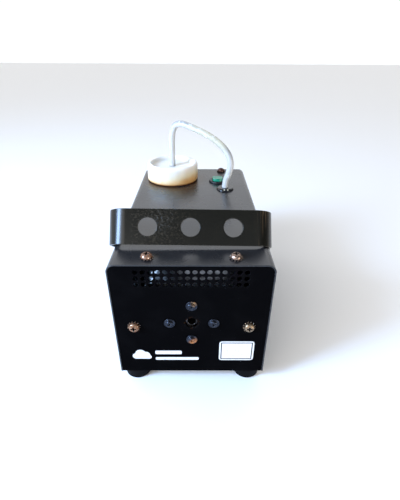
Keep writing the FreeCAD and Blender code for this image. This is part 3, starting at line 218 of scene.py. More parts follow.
class Finish:
    """One procedural material. It starts as a base coat, takes layers, and is wired up by done()."""

    def __init__(self, name, colour, roughness, **sockets):
        self.material = bpy.data.materials.new(name)
        self.material.use_nodes = True
        self.tree = self.material.node_tree
        self.tree.nodes.clear()
        self.shader = self.tree.nodes.new("ShaderNodeBsdfPrincipled")
        output = self.tree.nodes.new("ShaderNodeOutputMaterial")
        self.tree.links.new(self.shader.outputs[0], output.inputs[0])
        for socket, value in sockets.items():
            self.shader.inputs[socket.replace("_", " ")].default_value = value
        self.place = self.tree.nodes.new("ShaderNodeTexCoord").outputs["Object"]
        self.colour = (*colour, 1.0)
        self.roughness = roughness
        self.metallic = None
        self.normal = None

    def feed(self, socket, value):
        if isinstance(value, bpy.types.NodeSocket):
            self.tree.links.new(value, socket)
        else:
            socket.default_value = value

    def node(self, kind, **inputs):
        made = self.tree.nodes.new(kind)
        for name, value in inputs.items():
            self.feed(made.inputs[name.replace("_", " ")], value)
        return made

    def maths(self, operation, first, second=0.0):
        made = self.tree.nodes.new("ShaderNodeMath")
        made.operation = operation
        self.feed(made.inputs[0], first)
        self.feed(made.inputs[1], second)
        return made.outputs[0]

    def vector(self, operation, first, second):
        made = self.tree.nodes.new("ShaderNodeVectorMath")
        made.operation = operation
        self.feed(made.inputs[0], first)
        self.feed(made.inputs[1], second)
        return made

    def part_of_place(self, axis):
        return self.node("ShaderNodeSeparateXYZ", Vector=self.place).outputs[axis]

    # masks, all from 0 to 1
    def smooth(self, value, low, high):
        made = self.node("ShaderNodeMapRange", Value=value, From_Min=low, From_Max=high)
        made.interpolation_type = "SMOOTHSTEP"
        return made.outputs[0]

    def noise(self, size, detail=2.0, stretch=(1, 1, 1)):
        """Fractal noise whose features are about size across, longer along an axis by its stretch."""
        scale = tuple(1 / (size * factor) for factor in stretch)
        scaled = self.vector("MULTIPLY", self.place, scale).outputs[0]
        made = self.node("ShaderNodeTexNoise", Vector=scaled, Scale=1.0, Detail=detail)
        return made.outputs[0]

    def patches(self, size, low, high, detail=2.0, stretch=(1, 1, 1)):
        return self.smooth(self.noise(size, detail, stretch), low, high)

    def specks(self, spacing, radius):
        """Small round dots, at most one for each cell."""
        cells = self.node("ShaderNodeTexVoronoi", Vector=self.place, Scale=1 / spacing)
        rim = radius / spacing
        return self.smooth(cells.outputs["Distance"], rim, SPECK_CORE * rim)

    def near(self, point, inner, outer):
        """1 within inner of a point, 0 beyond outer."""
        gap = self.vector("DISTANCE", self.place, tuple(point)).outputs["Value"]
        return self.smooth(gap, outer, inner)

    def around(self, axis, inner, outer):
        """1 within inner of an upright axis, 0 beyond outer."""
        flat = self.vector("MULTIPLY", self.place, (1, 1, 0)).outputs[0]
        gap = self.vector("DISTANCE", flat, (axis[0], axis[1], 0)).outputs["Value"]
        return self.smooth(gap, outer, inner)

    def edges(self, radius, low=0.02, high=0.25):
        """1 on the outer edges of a piece, from how far a rounded normal leaves the true one."""
        bevel = self.node("ShaderNodeBevel", Radius=radius)
        bevel.samples = EDGE_SAMPLES
        true = self.tree.nodes.new("ShaderNodeNewGeometry").outputs["Normal"]
        alike = self.vector("DOT_PRODUCT", bevel.outputs[0], true).outputs["Value"]
        return self.smooth(self.maths("SUBTRACT", 1.0, alike), low, high)

    def crevices(self, reach, open_share, hidden_share):
        """1 in recesses, where only the hidden share of the surroundings shows, 0 in the open."""
        seen = self.node("ShaderNodeAmbientOcclusion", Distance=reach)
        seen.samples = CREVICE_SAMPLES
        return self.smooth(seen.outputs["AO"], open_share, hidden_share)

    def facing_up(self, low, high):
        """1 where the surface faces up: the upward part of its normal goes from low to high."""
        true = self.tree.nodes.new("ShaderNodeNewGeometry").outputs["Normal"]
        split = self.node("ShaderNodeSeparateXYZ", Vector=true)
        return self.smooth(split.outputs["Z"], low, high)

    def both(self, first, second):
        return self.maths("MULTIPLY", first, second)

    # layers
    def mixed(self, mask, below, above):
        """One number over another, as the mask says."""
        made = self.tree.nodes.new("ShaderNodeMix")
        self.feed(made.inputs["Factor"], mask)
        self.feed(made.inputs["A"], below)
        self.feed(made.inputs["B"], above)
        return made.outputs[0]

    def layer(self, mask, colour, roughness, metallic=None):
        """Covers what is there with another coat, where the mask is 1."""
        made = self.tree.nodes.new("ShaderNodeMix")
        made.data_type = "RGBA"
        self.feed(made.inputs[MIX_MASK], mask)
        self.feed(made.inputs[MIX_BELOW], self.colour)
        self.feed(made.inputs[MIX_ABOVE], (*colour, 1.0))
        self.colour = made.outputs[MIX_RESULT]
        self.roughness = self.mixed(mask, self.roughness, roughness)
        if metallic is not None:
            before = self.shader.inputs["Metallic"].default_value
            self.metallic = self.mixed(mask, self.metallic or before, metallic)

    def relief(self, height, depth):
        """Raises the surface by depth, in metres, where height is 1."""
        made = self.node("ShaderNodeBump", Height=height, Distance=depth, Strength=1.0)
        if self.normal is not None:
            self.feed(made.inputs["Normal"], self.normal)
        self.normal = made.outputs[0]

    def done(self):
        """Wires the coats into the shader and gives the material."""
        self.feed(self.shader.inputs["Base Color"], self.colour)
        self.feed(self.shader.inputs["Roughness"], self.roughness)
        if self.metallic is not None:
            self.feed(self.shader.inputs["Metallic"], self.metallic)
        self.feed(self.shader.inputs["Normal"], self.normal)
        return self.material


# ---------------------------------------------------------------- materials of the housing
def floor_finish():
    coat = Finish("studio_white", (0.95, 0.95, 0.95), 0.6, Specular_IOR_Level=0.1)
    coat.relief(coat.noise(20 * MM), 0.1 * MM)
    return coat.done()


def cover_finish():
    """Semi-gloss black powder coat with fine orange peel, dust and darker brown patches in a ring round the cap.
    """
    coat = Finish("cover_paint", (0.010, 0.0108, 0.0132), 0.28, Specular_IOR_Level=0.5)
    coat.layer(coat.patches(30 * MM, 0.35, 0.7), (0.014, 0.014, 0.016), 0.25)
    # darker brown patches in a ring round the cap, on the top of the cover
    brown_ring_round_cap = coat.both(
        coat.around(CAP_AXIS, 31 * MM, 46 * MM),
        coat.patches(12 * MM, 0.15, 0.7, stretch=(2, 1, 1)),
    )
    on_top = coat.smooth(coat.part_of_place("Z"), COVER_TOP - 7 * MM, COVER_TOP - 1 * MM)
    coat.layer(coat.both(brown_ring_round_cap, on_top), (0.042, 0.023, 0.010), 0.31)
    dust = coat.both(coat.facing_up(0.5, 0.9), coat.specks(1.6 * MM, 0.10 * MM))
    coat.layer(dust, (0.22, 0.21, 0.2), 0.7)
    coat.layer(coat.edges(0.35 * MM), (0.05, 0.05, 0.055), 0.4)
    coat.relief(coat.noise(0.8 * MM), 0.004 * MM)
    coat.relief(coat.noise(40 * MM), 0.05 * MM)
    return coat.done()


def panel_finish():
    """Satin black powder coat, darker and duller than the cover."""
    coat = Finish("panel_paint", (0.0020, 0.0020, 0.0024), 0.5, Specular_IOR_Level=0.0)
    coat.layer(coat.patches(22 * MM, 0.4, 0.75), (0.0028, 0.0028, 0.0033), 0.6)
    residue = coat.both(
        coat.near((NOZZLE_AXIS.x, PANEL_FACE, NOZZLE_AXIS.z), 5.4 * MM, 7.5 * MM),
        coat.patches(2.0 * MM, 0.5, 0.75),
    )
    coat.layer(residue, (0.03, 0.012, 0.004), 0.7)
    coat.layer(coat.specks(4.2 * MM, 0.12 * MM), (0.05, 0.05, 0.055), 0.7)
    coat.layer(coat.edges(0.3 * MM), (0.035, 0.035, 0.04), 0.4)
    coat.relief(coat.noise(0.5 * MM), 0.01 * MM)
    return coat.done()


def bracket_finish():
    """Worn black paint on the bent strap, brownish where it is rubbed thin, with a painted reflection streak down
    its right bend.
    """
    coat = Finish("bracket_paint", (0.0048, 0.0046, 0.0032), 0.22, Specular_IOR_Level=0.33)
    left = coat.both(
        coat.smooth(coat.part_of_place("X"), 20 * MM, -30 * MM),
        coat.smooth(coat.part_of_place("X"), -53 * MM, -44 * MM),
    )
    mottle = coat.patches(1.5 * MM, 0.49, 0.66, detail=6.0, stretch=(1.4, 1, 1))
    coat.layer(coat.both(left, mottle), (0.016, 0.0125, 0.007), 0.34)
    coat.layer(coat.patches(14 * MM, 0.45, 0.8, detail=4.0), (0.006, 0.0055, 0.0035), 0.26)
    dents = coat.both(
        coat.patches(3.2 * MM, 0.46, 0.62, detail=5.0),
        coat.near((-24 * MM, strap_low.y, strap_high.z), 2 * MM, 26 * MM),
    )
    coat.relief(dents, -0.24 * MM)
    pits = coat.both(
        coat.patches(1.4 * MM, 0.5, 0.62, detail=3.0),
        coat.near((-22 * MM, strap_low.y, strap_high.z), 2 * MM, 20 * MM),
    )
    coat.relief(pits, -0.22 * MM)
    # painted reflection: a pale brown streak down the right bend stands in for a reflection there
    in_bend = coat.both(
        coat.smooth(coat.part_of_place("X"), 50 * MM, 60 * MM),
        coat.smooth(coat.part_of_place("X"), strap_high.x - 1 * MM, strap_high.x - 4 * MM),
    )
    painted_reflection_streak = coat.both(coat.patches(3 * MM, 0.5, 0.7, stretch=(0.4, 12, 12)), in_bend)
    coat.layer(painted_reflection_streak, (0.07, 0.045, 0.022), 0.4)
    coat.layer(coat.edges(0.5 * MM), (0.42, 0.38, 0.31), 0.35)
    coat.relief(coat.noise(1.1 * MM, detail=1.0), 0.003 * MM)
    coat.relief(coat.noise(14 * MM), 0.05 * MM)
    return coat.done()


# ---------------------------------------------------------------- materials of metal pieces
def yellow_zinc_finish():
    """Yellow zinc plate, browner and more rusted towards the left of the machine, with painted shade in its
    recesses.
    """
    coat = Finish("yellow_zinc", (0.20, 0.145, 0.09), 0.28, Metallic=1.0)
    coat.layer(coat.patches(1.4 * MM, 0.45, 0.7), (0.44, 0.36, 0.26), 0.2)
    above = coat.smooth(coat.part_of_place("Z"), COVER_TOP - 10 * MM, COVER_TOP)
    coat.layer(above, (0.35, 0.265, 0.215), 0.14)
    left = coat.smooth(coat.part_of_place("X"), 50 * MM, -40 * MM)
    rust = coat.patches(1.1 * MM, 0.40, 0.58, detail=5.0)
    coat.layer(coat.both(coat.maths("ADD", 0.3, left), rust), (0.20, 0.075, 0.03), 0.7, 0.2)
    back = coat.smooth(coat.part_of_place("Y"), 80 * MM, 100 * MM)
    coat.layer(back, (0.09, 0.04, 0.03), 0.35, 0.6)
    coat.layer(coat.edges(0.35 * MM, 0.03, 0.3), (0.78, 0.68, 0.58), 0.22)
    # painted shade: recesses, such as the cross and the ring round each head, are made near black
    coat.layer(coat.crevices(3.0 * MM, 0.92, 0.5), (0.012, 0.005, 0.004), 0.6, 0.2)
    coat.relief(coat.noise(0.7 * MM, detail=3.0), 0.12 * MM)
    return coat.done()


def dark_zinc_finish():
    coat = Finish("dark_zinc", (0.022, 0.025, 0.034), 0.3, Metallic=1.0)
    coat.layer(coat.patches(1.2 * MM, 0.45, 0.7), (0.05, 0.055, 0.07), 0.26)
    # painted highlight: the edges of the screw heads are made pale grey, for the lit rings round them
    coat.layer(coat.edges(0.4 * MM), (0.30, 0.32, 0.36), 0.3)
    below = (NOZZLE_AXIS.x + 1.5 * MM, PANEL_FACE - 1 * MM, NOZZLE_AXIS.z - 20.5 * MM)
    crust = coat.both(coat.near(below, 2.0 * MM, 5.5 * MM), coat.patches(1.3 * MM, 0.25, 0.5))
    coat.layer(crust, (0.33, 0.12, 0.025), 0.35, 0.0)
    above = (NOZZLE_AXIS.x + 2.0 * MM, PANEL_FACE - 1 * MM, NOZZLE_AXIS.z + 21.5 * MM)
    tint = coat.both(coat.near(above, 1.0 * MM, 3.5 * MM), coat.patches(0.9 * MM, 0.4, 0.6))
    coat.layer(tint, (0.36, 0.20, 0.08), 0.5, 0.2)
    coat.relief(coat.noise(0.3 * MM, detail=4.0), 0.015 * MM)
    return coat.done()


def nozzle_finish():
    """Turned steel, blackened by heat, with burnt fluid above its mouth and painted shade in its recesses."""
    coat = Finish("nozzle_steel", (0.05, 0.046, 0.045), 0.35, Metallic=1.0)
    rings = coat.patches(0.35 * MM, 0.35, 0.65, stretch=(40, 1, 40))
    coat.layer(rings, (0.09, 0.085, 0.085), 0.3)
    height = coat.maths("SUBTRACT", coat.part_of_place("Z"), NOZZLE_AXIS.z)
    burnt = coat.both(coat.smooth(height, 2.4 * MM, 4.4 * MM), coat.patches(1.6 * MM, 0.3, 0.5))
    coat.layer(burnt, (0.16, 0.055, 0.02), 0.6, 0.1)
    # painted shade: the recesses of the mouth are made near black
    coat.layer(coat.crevices(4 * MM, 0.7, 0.3), (0.003, 0.002, 0.002), 0.7, 0.0)
    coat.relief(coat.noise(0.3 * MM), 0.015 * MM)
    return coat.done()


def steel_finish():
    """Bright zinc plate with faint spangle and handling marks."""
    coat = Finish("bare_steel", (0.52, 0.53, 0.55), 0.3, Metallic=1.0)
    cells = coat.node("ShaderNodeTexVoronoi", Vector=coat.place, Scale=1 / (3.5 * MM))
    spangle = coat.node("ShaderNodeSeparateColor", Color=cells.outputs["Color"]).outputs[0]
    coat.layer(spangle, (0.62, 0.63, 0.66), 0.36)
    coat.layer(coat.patches(8 * MM, 0.55, 0.75, detail=4.0), (0.36, 0.35, 0.34), 0.5)
    coat.relief(coat.noise(0.25 * MM, stretch=(6, 1, 1)), 0.004 * MM)
    return coat.done()


def aluminium_finish():
    coat = Finish("cast_aluminium", (0.60, 0.61, 0.63), 0.42, Metallic=1.0)
    coat.layer(coat.patches(6 * MM, 0.4, 0.7, detail=4.0), (0.48, 0.47, 0.46), 0.55)
    coat.layer(coat.edges(0.4 * MM), (0.8, 0.8, 0.82), 0.25)
    coat.relief(coat.noise(0.5 * MM, detail=5.0), 0.06 * MM)
    return coat.done()


def foil_finish():
    """Crinkled foil with flat facets."""
    coat = Finish("foil", (0.72, 0.74, 0.80), 0.4, Metallic=1.0)
    coat.layer(coat.patches(7 * MM, 0.45, 0.7), (0.60, 0.60, 0.60), 0.48)
    cells = coat.node("ShaderNodeTexVoronoi", Vector=coat.place, Scale=1 / (3 * MM))
    coat.relief(cells.outputs["Distance"], 0.3 * MM)
    return coat.done()


def copper_finish():
    coat = Finish("enamelled_copper", (0.62, 0.24, 0.10), 0.25, Metallic=1.0)
    coat.layer(coat.patches(2 * MM, 0.4, 0.7), (0.48, 0.17, 0.07), 0.35)
    coat.relief(coat.noise(0.3 * MM), 0.01 * MM)
    return coat.done()


def brass_finish():
    coat = Finish("turned_brass", (0.70, 0.52, 0.22), 0.25, Metallic=1.0)
    coat.layer(coat.patches(3 * MM, 0.45, 0.75, detail=4.0), (0.45, 0.31, 0.12), 0.4)
    coat.relief(coat.noise(0.2 * MM, stretch=(8, 8, 1)), 0.006 * MM)
    return coat.done()


# ---------------------------------------------------------------- materials of other pieces
def rubber_finish():
    coat = Finish("black_rubber", (0.0025, 0.0025, 0.003), 0.62, Specular_IOR_Level=0.04)
    coat.layer(coat.patches(5 * MM, 0.5, 0.75, detail=4.0), (0.005, 0.005, 0.005), 0.8)
    coat.relief(coat.noise(0.4 * MM, detail=4.0), 0.03 * MM)
    return coat.done()


def grommet_finish():
    """Glossy moulded rubber with two painted highlights: pale dots on the side towards the front."""
    coat = Finish("glossy_rubber", (0.006, 0.007, 0.009), 0.16, Specular_IOR_Level=0.5)
    coat.layer(coat.patches(4 * MM, 0.4, 0.7), (0.010, 0.011, 0.013), 0.28)
    # painted highlights: two pale dots stand in for glints on the glossy rubber
    for across, height in ((-1.4, 2.1), (2.6, 2.0)):
        painted_glint = (GROMMET_AXIS.x + across * MM, GROMMET_AXIS.y - 8.3 * MM, COVER_TOP + height * MM)
        coat.layer(coat.near(painted_glint, 0.45 * MM, 0.95 * MM), (0.66, 0.60, 0.44), 0.5)
    coat.relief(coat.noise(0.6 * MM), 0.01 * MM)
    return coat.done()


def black_plastic_finish():
    """Spark-eroded moulded plastic, polished where fingers touch it."""
    coat = Finish("black_plastic", (0.010, 0.010, 0.011), 0.42, Specular_IOR_Level=0.45)
    coat.layer(coat.patches(9 * MM, 0.4, 0.7), (0.014, 0.014, 0.015), 0.3)
    coat.layer(coat.edges(0.5 * MM), (0.03, 0.03, 0.032), 0.25)
    coat.relief(coat.noise(0.22 * MM, detail=4.0), 0.012 * MM)
    return coat.done()


def cap_finish():
    """White plastic, yellowed in patches, with brown fluid dried along its lower edge. The stained band reaches
    higher on the right, partly as painted shade on that side.
    """
    coat = Finish(
        "cap_plastic", (0.80, 0.78, 0.735), 0.36,
        Subsurface_Weight=0.6, Subsurface_Radius=(1.0, 0.85, 0.7), Subsurface_Scale=4 * MM,
        Specular_IOR_Level=0.4,
    )
    height = coat.part_of_place("Z")
    across = coat.part_of_place("X")
    # the band reaches higher on the right: partly stain, partly painted shade on the cap's shaded right side
    towards_right = coat.smooth(across, CAP_AXIS.x - 15 * MM, CAP_AXIS.x + 26 * MM)
    painted_shade_rise = coat.maths("MULTIPLY", towards_right, 6 * MM)
    top_of_stain = coat.maths("ADD", painted_shade_rise, COVER_TOP + 7.5 * MM)
    wander = coat.maths("SUBTRACT", coat.noise(9 * MM, 4.0), 0.5)
    ragged = coat.maths("MULTIPLY", wander, 5 * MM)
    level = coat.maths("SUBTRACT", coat.maths("ADD", height, ragged), top_of_stain)
    side = coat.maths("SUBTRACT", 1.0, coat.around(CAP_AXIS, 27 * MM, 28.5 * MM))
    coat.layer(coat.both(side, coat.smooth(level, 8 * MM, -5 * MM)), (0.86, 0.71, 0.46), 0.4)
    coat.layer(coat.both(side, coat.smooth(level, 0 * MM, -9 * MM)), (0.76, 0.43, 0.16), 0.42)
    edge = coat.smooth(height, COVER_TOP + 3.2 * MM, COVER_TOP + 0.8 * MM)
    coat.layer(edge, (0.22, 0.075, 0.02), 0.5)
    dish = coat.both(coat.around(CAP_AXIS, 22 * MM, 25 * MM), coat.patches(14 * MM, 0.35, 0.75))
    coat.layer(dish, (0.80, 0.77, 0.69), 0.42)
    coat.relief(coat.noise(0.7 * MM), 0.012 * MM)
    coat.relief(coat.noise(12 * MM), 0.15 * MM)
    return coat.done()


def hose_finish():
    """Milky silicone tube: bluish where it is empty, yellowish where old fluid stands in it, with painted shade on
    its upper side.
    """
    coat = Finish(
        "milky_silicone", (0.57, 0.57, 0.555), 0.24,
        Transmission_Weight=0.12, IOR=1.41,
        Subsurface_Weight=0.6, Subsurface_Radius=(1.0, 1.0, 1.0), Subsurface_Scale=3 * MM,
    )
    across = coat.part_of_place("X")
    aged = coat.both(
        coat.smooth(across, CAP_AXIS.x + 12 * MM, CAP_AXIS.x + 34 * MM),
        coat.smooth(across, GROMMET_AXIS.x + 6 * MM, GROMMET_AXIS.x - 8 * MM),
    )
    high = coat.smooth(coat.part_of_place("Z"), COVER_TOP + 36 * MM, COVER_TOP + 48 * MM)
    # painted shade: faces that look up are made darker, against the light from above
    coat.layer(coat.facing_up(0.0, 0.7), (0.335, 0.345, 0.355), 0.24)
    coat.layer(coat.both(aged, high), (0.56, 0.54, 0.43), 0.26)
    grime = coat.both(coat.both(aged, high), coat.patches(1.3 * MM, 0.56, 0.7, detail=4.0))
    coat.layer(grime, (0.36, 0.34, 0.28), 0.3)
    coat.layer(coat.patches(3 * MM, 0.5, 0.8, stretch=(2, 2, 3)), (0.64, 0.65, 0.64), 0.3)
    coat.relief(coat.noise(2.5 * MM), 0.05 * MM)
    return coat.done()


def plain_finish(name, colour, second, roughness, grain, depth, **sockets):
    """A moulded piece: two close colours in patches. Its grain has a size and a depth in mm."""
    coat = Finish(name, colour, roughness, **sockets)
    coat.layer(coat.patches(6 * MM, 0.4, 0.7, detail=4.0), second, roughness + 0.1)
    coat.relief(coat.noise(grain * MM, detail=3.0), depth * MM)
    return coat.done()


def label_finish(name, colour):
    """Printed vinyl, scuffed in patches."""
    coat = Finish(name, colour, 0.4, Specular_IOR_Level=0.2)
    scuffed = tuple(0.8 * channel + 0.01 for channel in colour)
    coat.layer(coat.patches(2.5 * MM, 0.55, 0.7, detail=5.0), scuffed, 0.6)
    coat.relief(coat.noise(0.5 * MM), 0.006 * MM)
    return coat.done()


def earth_finish():
    """Green insulation with a yellow stripe that winds along the lead."""
    coat = Finish("earth_insulation", (0.05, 0.32, 0.04), 0.4)
    along = coat.maths("ADD", coat.part_of_place("Z"), coat.part_of_place("Y"))
    turn = coat.maths("FRACT", coat.maths("DIVIDE", along, 6 * MM))
    coat.layer(coat.smooth(turn, 0.5, 0.54), (0.75, 0.68, 0.05), 0.4)
    coat.relief(coat.noise(0.4 * MM), 0.01 * MM)
    return coat.done()


def slot_finishes():
    """The finish of each material slot of the record."""
    return {
        "housing_paint": panel_finish(),
        "bracket_paint": bracket_finish(),
        "yellow_zinc": yellow_zinc_finish(),
        "dark_zinc": dark_zinc_finish(),
        "bare_steel": steel_finish(),
        "nozzle_steel": nozzle_finish(),
        "black_rubber": rubber_finish(),
        "black_plastic": black_plastic_finish(),
        "white_plastic": plain_finish(
            "white_plastic", (0.8, 0.8, 0.77), (0.78, 0.77, 0.72), roughness=0.4, grain=0.4, depth=0.01
        ),
        "bottle_plastic": plain_finish(
            "bottle_plastic", (0.78, 0.79, 0.76), (0.72, 0.71, 0.62), roughness=0.35, grain=1.2,
            depth=0.03, Transmission_Weight=0.3, Subsurface_Weight=0.3, Subsurface_Scale=3 * MM,
        ),
        "clear_silicone": hose_finish(),
        "green_plastic": switch_finish(),
        "foam": plain_finish(
            "foam", (0.03, 0.03, 0.032), (0.05, 0.05, 0.052), roughness=0.85, grain=0.5, depth=0.12
        ),
        "aluminium": aluminium_finish(),
        "foil": foil_finish(),
        "copper": copper_finish(),
        "brass": brass_finish(),
        "white_ceramic": plain_finish(
            "white_ceramic", (0.78, 0.75, 0.7), (0.66, 0.62, 0.55), roughness=0.6, grain=0.3, depth=0.02
        ),
        "fuse_glass": plain_finish(
            "fuse_glass", (0.9, 0.95, 0.95), (0.85, 0.9, 0.9), roughness=0.05, grain=2.0, depth=0.005,
            Transmission_Weight=1.0,
        ),
        "live_insulation": plain_finish(
            "live_insulation", (0.16, 0.05, 0.018), (0.12, 0.04, 0.015), roughness=0.4, grain=0.4,
            depth=0.01,
        ),
        "neutral_insulation": plain_finish(
            "neutral_insulation", (0.02, 0.07, 0.36), (0.02, 0.05, 0.27), roughness=0.4, grain=0.4,
            depth=0.01,
        ),
        "earth_insulation": earth_finish(),
    }


def switch_finish():
    """Translucent green rocker, paler on its edges."""
    coat = Finish(
        "green_rocker", (0.004, 0.26, 0.15), 0.28,
        Transmission_Weight=0.15, Subsurface_Weight=0.4, Subsurface_Scale=2 * MM,
        Subsurface_Radius=(0.2, 1.0, 0.7),
    )
    coat.layer(coat.patches(3 * MM, 0.4, 0.7), (0.01, 0.26, 0.16), 0.34)
    coat.layer(coat.edges(0.3 * MM), (0.06, 0.42, 0.30), 0.3)
    coat.relief(coat.noise(0.4 * MM), 0.01 * MM)
    return coat.done()


def dress_cad_nodes(finishes):
    """Gives every CAD node the finish of its slot, or one of its own."""
    own = {"top_cover": cover_finish(), "hose_grommet": grommet_finish()}
    for part in frame["record"]["subparts"]:
        name = part["node"]
        material = own.get(name) or finishes[part["material_slot"]]
        node = frame["nodes"][name]
        if not node.material_slots:
            node.data.materials.append(material)
        for slot in node.material_slots:
            slot.material = material


# ---------------------------------------------------------------- rounded edges
WELD_WITHIN = 0.002 * MM
FLAT_WITHIN = math.radians(0.5)
ROUNDED_FROM = math.radians(32)
BEVEL_SEGMENTS = 2
SOFT_EDGES = {  # the width of the rounding on each CAD node, in mm
    "top_cover": 0.25,
    "front_panel": 0.15,
    "rear_panel": 0.15,
    "base_tray": 0.15,
    "left_knob": 0.35,
    "right_knob": 0.35,
    "rubber_feet": 0.3,
    "hose_grommet": 0.25,
    "switch_body": 0.25,
    "switch_rocker": 0.3,
    "mains_inlet": 0.3,
    "fuse_drawer": 0.3,
    "remote_jack": 0.2,
    "fluid_bottle": 0.3,
    "housing_screws": 0.12,
    "heater_screws": 0.12,
    "nozzle": 0.15,
    "heater_block_lower": 0.3,
    "heater_block_upper": 0.3,
    "pump_yoke": 0.2,
    "pump_bracket": 0.2,
    "terminal_block": 0.2,
}


def soften(thing, width):
    """Rounds a piece's sharp edges with modifiers, which leave its own mesh as it is."""
    weld = thing.modifiers.new("weld", "WELD")
    weld.merge_threshold = WELD_WITHIN
    flat = thing.modifiers.new("flat", "DECIMATE")
    flat.decimate_type = "DISSOLVE"
    flat.angle_limit = FLAT_WITHIN
    bevel = thing.modifiers.new("bevel", "BEVEL")
    bevel.width = width * MM
    bevel.segments = BEVEL_SEGMENTS
    bevel.limit_method = "ANGLE"
    bevel.angle_limit = ROUNDED_FROM
    bevel.use_clamp_overlap = False
    bevel.harden_normals = False
    shade = thing.modifiers.new("shade", "WEIGHTED_NORMAL")
    shade.keep_sharp = False


# ---------------------------------------------------------------- making pieces of my own
CREASED_FROM = math.radians(38)
MOST_OF_A_SIDE = 0.48  # so that the roundings at both ends of a side never meet
TURNED_SEGMENTS = 96
EASE_STEPS = 5


def piece(name, vertices, faces, material, stands_for=(), body="root"):
    """A mesh that rides a CAD body."""
    mesh = bpy.data.meshes.new(name)
    mesh.from_pydata([tuple(vertex) for vertex in vertices], [], faces)
    shape = bmesh.new()
    shape.from_mesh(mesh)
    bmesh.ops.recalc_face_normals(shape, faces=shape.faces)
    shape.to_mesh(mesh)
    shape.free()
    mesh.materials.append(material)
    mesh.shade_smooth()
    mesh.set_sharp_from_angle(angle=CREASED_FROM)
    made = bpy.data.objects.new(name, mesh)
    bpy.context.scene.collection.objects.link(made)
    if body:
        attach(made, body)
    for node in stands_for:
        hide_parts(node)
    return made


def stitched(rows, columns, closed):
    """The quads between rows of vertices. Each row is a ring; closed joins the last to the first."""
    faces = []
    for row in range(rows if closed else rows - 1):
        for column in range(columns):
            here, along = row * columns, (row + 1) % rows * columns
            beside = (column + 1) % columns
            faces.append((here + column, here + beside, along + beside, along + column))
    return faces


def eased(corners):
    """A closed outline from corners (x, y, ease). Each corner is rounded off over its ease."""
    outline = []
    for i, (x, y, ease) in enumerate(corners):
        corner = Vector((x, y))
        before = Vector(corners[i - 1][:2]) - corner
        after = Vector(corners[(i + 1) % len(corners)][:2]) - corner
        if ease == 0:
            outline.append(corner)
            continue
        start = corner + before.normalized() * min(ease, before.length * MOST_OF_A_SIDE)
        end = corner + after.normalized() * min(ease, after.length * MOST_OF_A_SIDE)
        for step in range(EASE_STEPS + 1):
            t = step / EASE_STEPS
            outline.append(start * (1 - t) ** 2 + corner * 2 * t * (1 - t) + end * t**2)
    return outline


def bar(left, right, low, high, ease):
    """A rectangular outline with its corners rounded off."""
    return eased([(left, low, ease), (right, low, ease), (right, high, ease), (left, high, ease)])


def turned(outline, axis):
    """The vertices and faces of a closed outline of (radius, height) turned about an upright axis."""
    vertices = []
    for segment in range(TURNED_SEGMENTS):
        angle = 2 * math.pi * segment / TURNED_SEGMENTS
        for radius, height in outline:
            x = axis.x + radius * math.cos(angle)
            y = axis.y + radius * math.sin(angle)
            vertices.append((x, y, height))
    return vertices, stitched(TURNED_SEGMENTS, len(outline), closed=True)


def plate(outline, face_y, thickness):
    """A flat prism on the front panel, from an outline of (x, z) points."""
    count = len(outline)
    vertices = [(x, face_y, z) for x, z in outline]
    vertices += [(x, face_y - thickness, z) for x, z in outline]
    faces = [tuple(range(count)), tuple(range(2 * count - 1, count - 1, -1))]
    for i in range(count):
        j = (i + 1) % count
        faces.append((i, i + count, j + count, j))
    return vertices, faces


def gathered(parts):
    """Joins several (vertices, faces) pairs into one."""
    vertices, faces = [], []
    for some_vertices, some_faces in parts:
        shift = len(vertices)
        vertices += some_vertices
        faces += [tuple(index + shift for index in face) for face in some_faces]
    return vertices, faces


def solids_of(node):
    """The lowest and highest corner of each separate solid of a CAD node."""
    same_place = 0.001 * MM
    shape = bmesh.new()
    shape.from_mesh(frame["nodes"][node].data)
    bmesh.ops.remove_doubles(shape, verts=shape.verts, dist=same_place)
    unseen = set(shape.verts)
    boxes = []
    for start in shape.verts:
        if start not in unseen:
            continue
        unseen.remove(start)
        reached = [start]
        for vertex in reached:
            for edge in vertex.link_edges:
                other = edge.other_vert(vertex)
                if other in unseen:
                    unseen.remove(other)
                    reached.append(other)
        places = [vertex.co for vertex in reached]
        low = Vector([min(place[i] for place in places) for i in range(3)])
        high = Vector([max(place[i] for place in places) for i in range(3)])
        boxes.append((low, high))
    shape.free()
    return boxes


# ---------------------------------------------------------------- fluid cap, washers and springs
def fluid_cap(material):
    """The wide cap: a bright rounded rim, a shallow dish and walls that draw in a little.

    Its corners are (radius, height above the cover, rounding), in mm.
    """
    hole, low, top = 3.9, 0.4, 21.0
    dish, ceiling = 16.0, 13.6
    corners = [
        (hole, ceiling, 0.3),
        (hole, dish, 0.6),
        (22.6, dish, 3.0),
        (25.2, top - 0.6, 2.0),
        (27.0, top + 0.1, 1.4),
        (29.2, top - 0.4, 1.6),
        (30.2, top - 3.0, 2.0),
        (30.25, low + 1.2, 0.8),
        (29.6, low, 0.5),
        (27.9, low, 0.3),
        (27.9, ceiling, 0.4),
        (25.2, ceiling, 0.4),
        (25.2, low + 1.6, 0.4),
        (23.2, low + 1.6, 0.4),
        (23.2, ceiling, 0.4),
    ]
    outline = [point * MM + Vector((0, COVER_TOP)) for point in eased(corners)]
    vertices, faces = turned(outline, CAP_AXIS)
    piece("moulded_cap", vertices, faces, material, ["fluid_cap"], "fluid_cap")


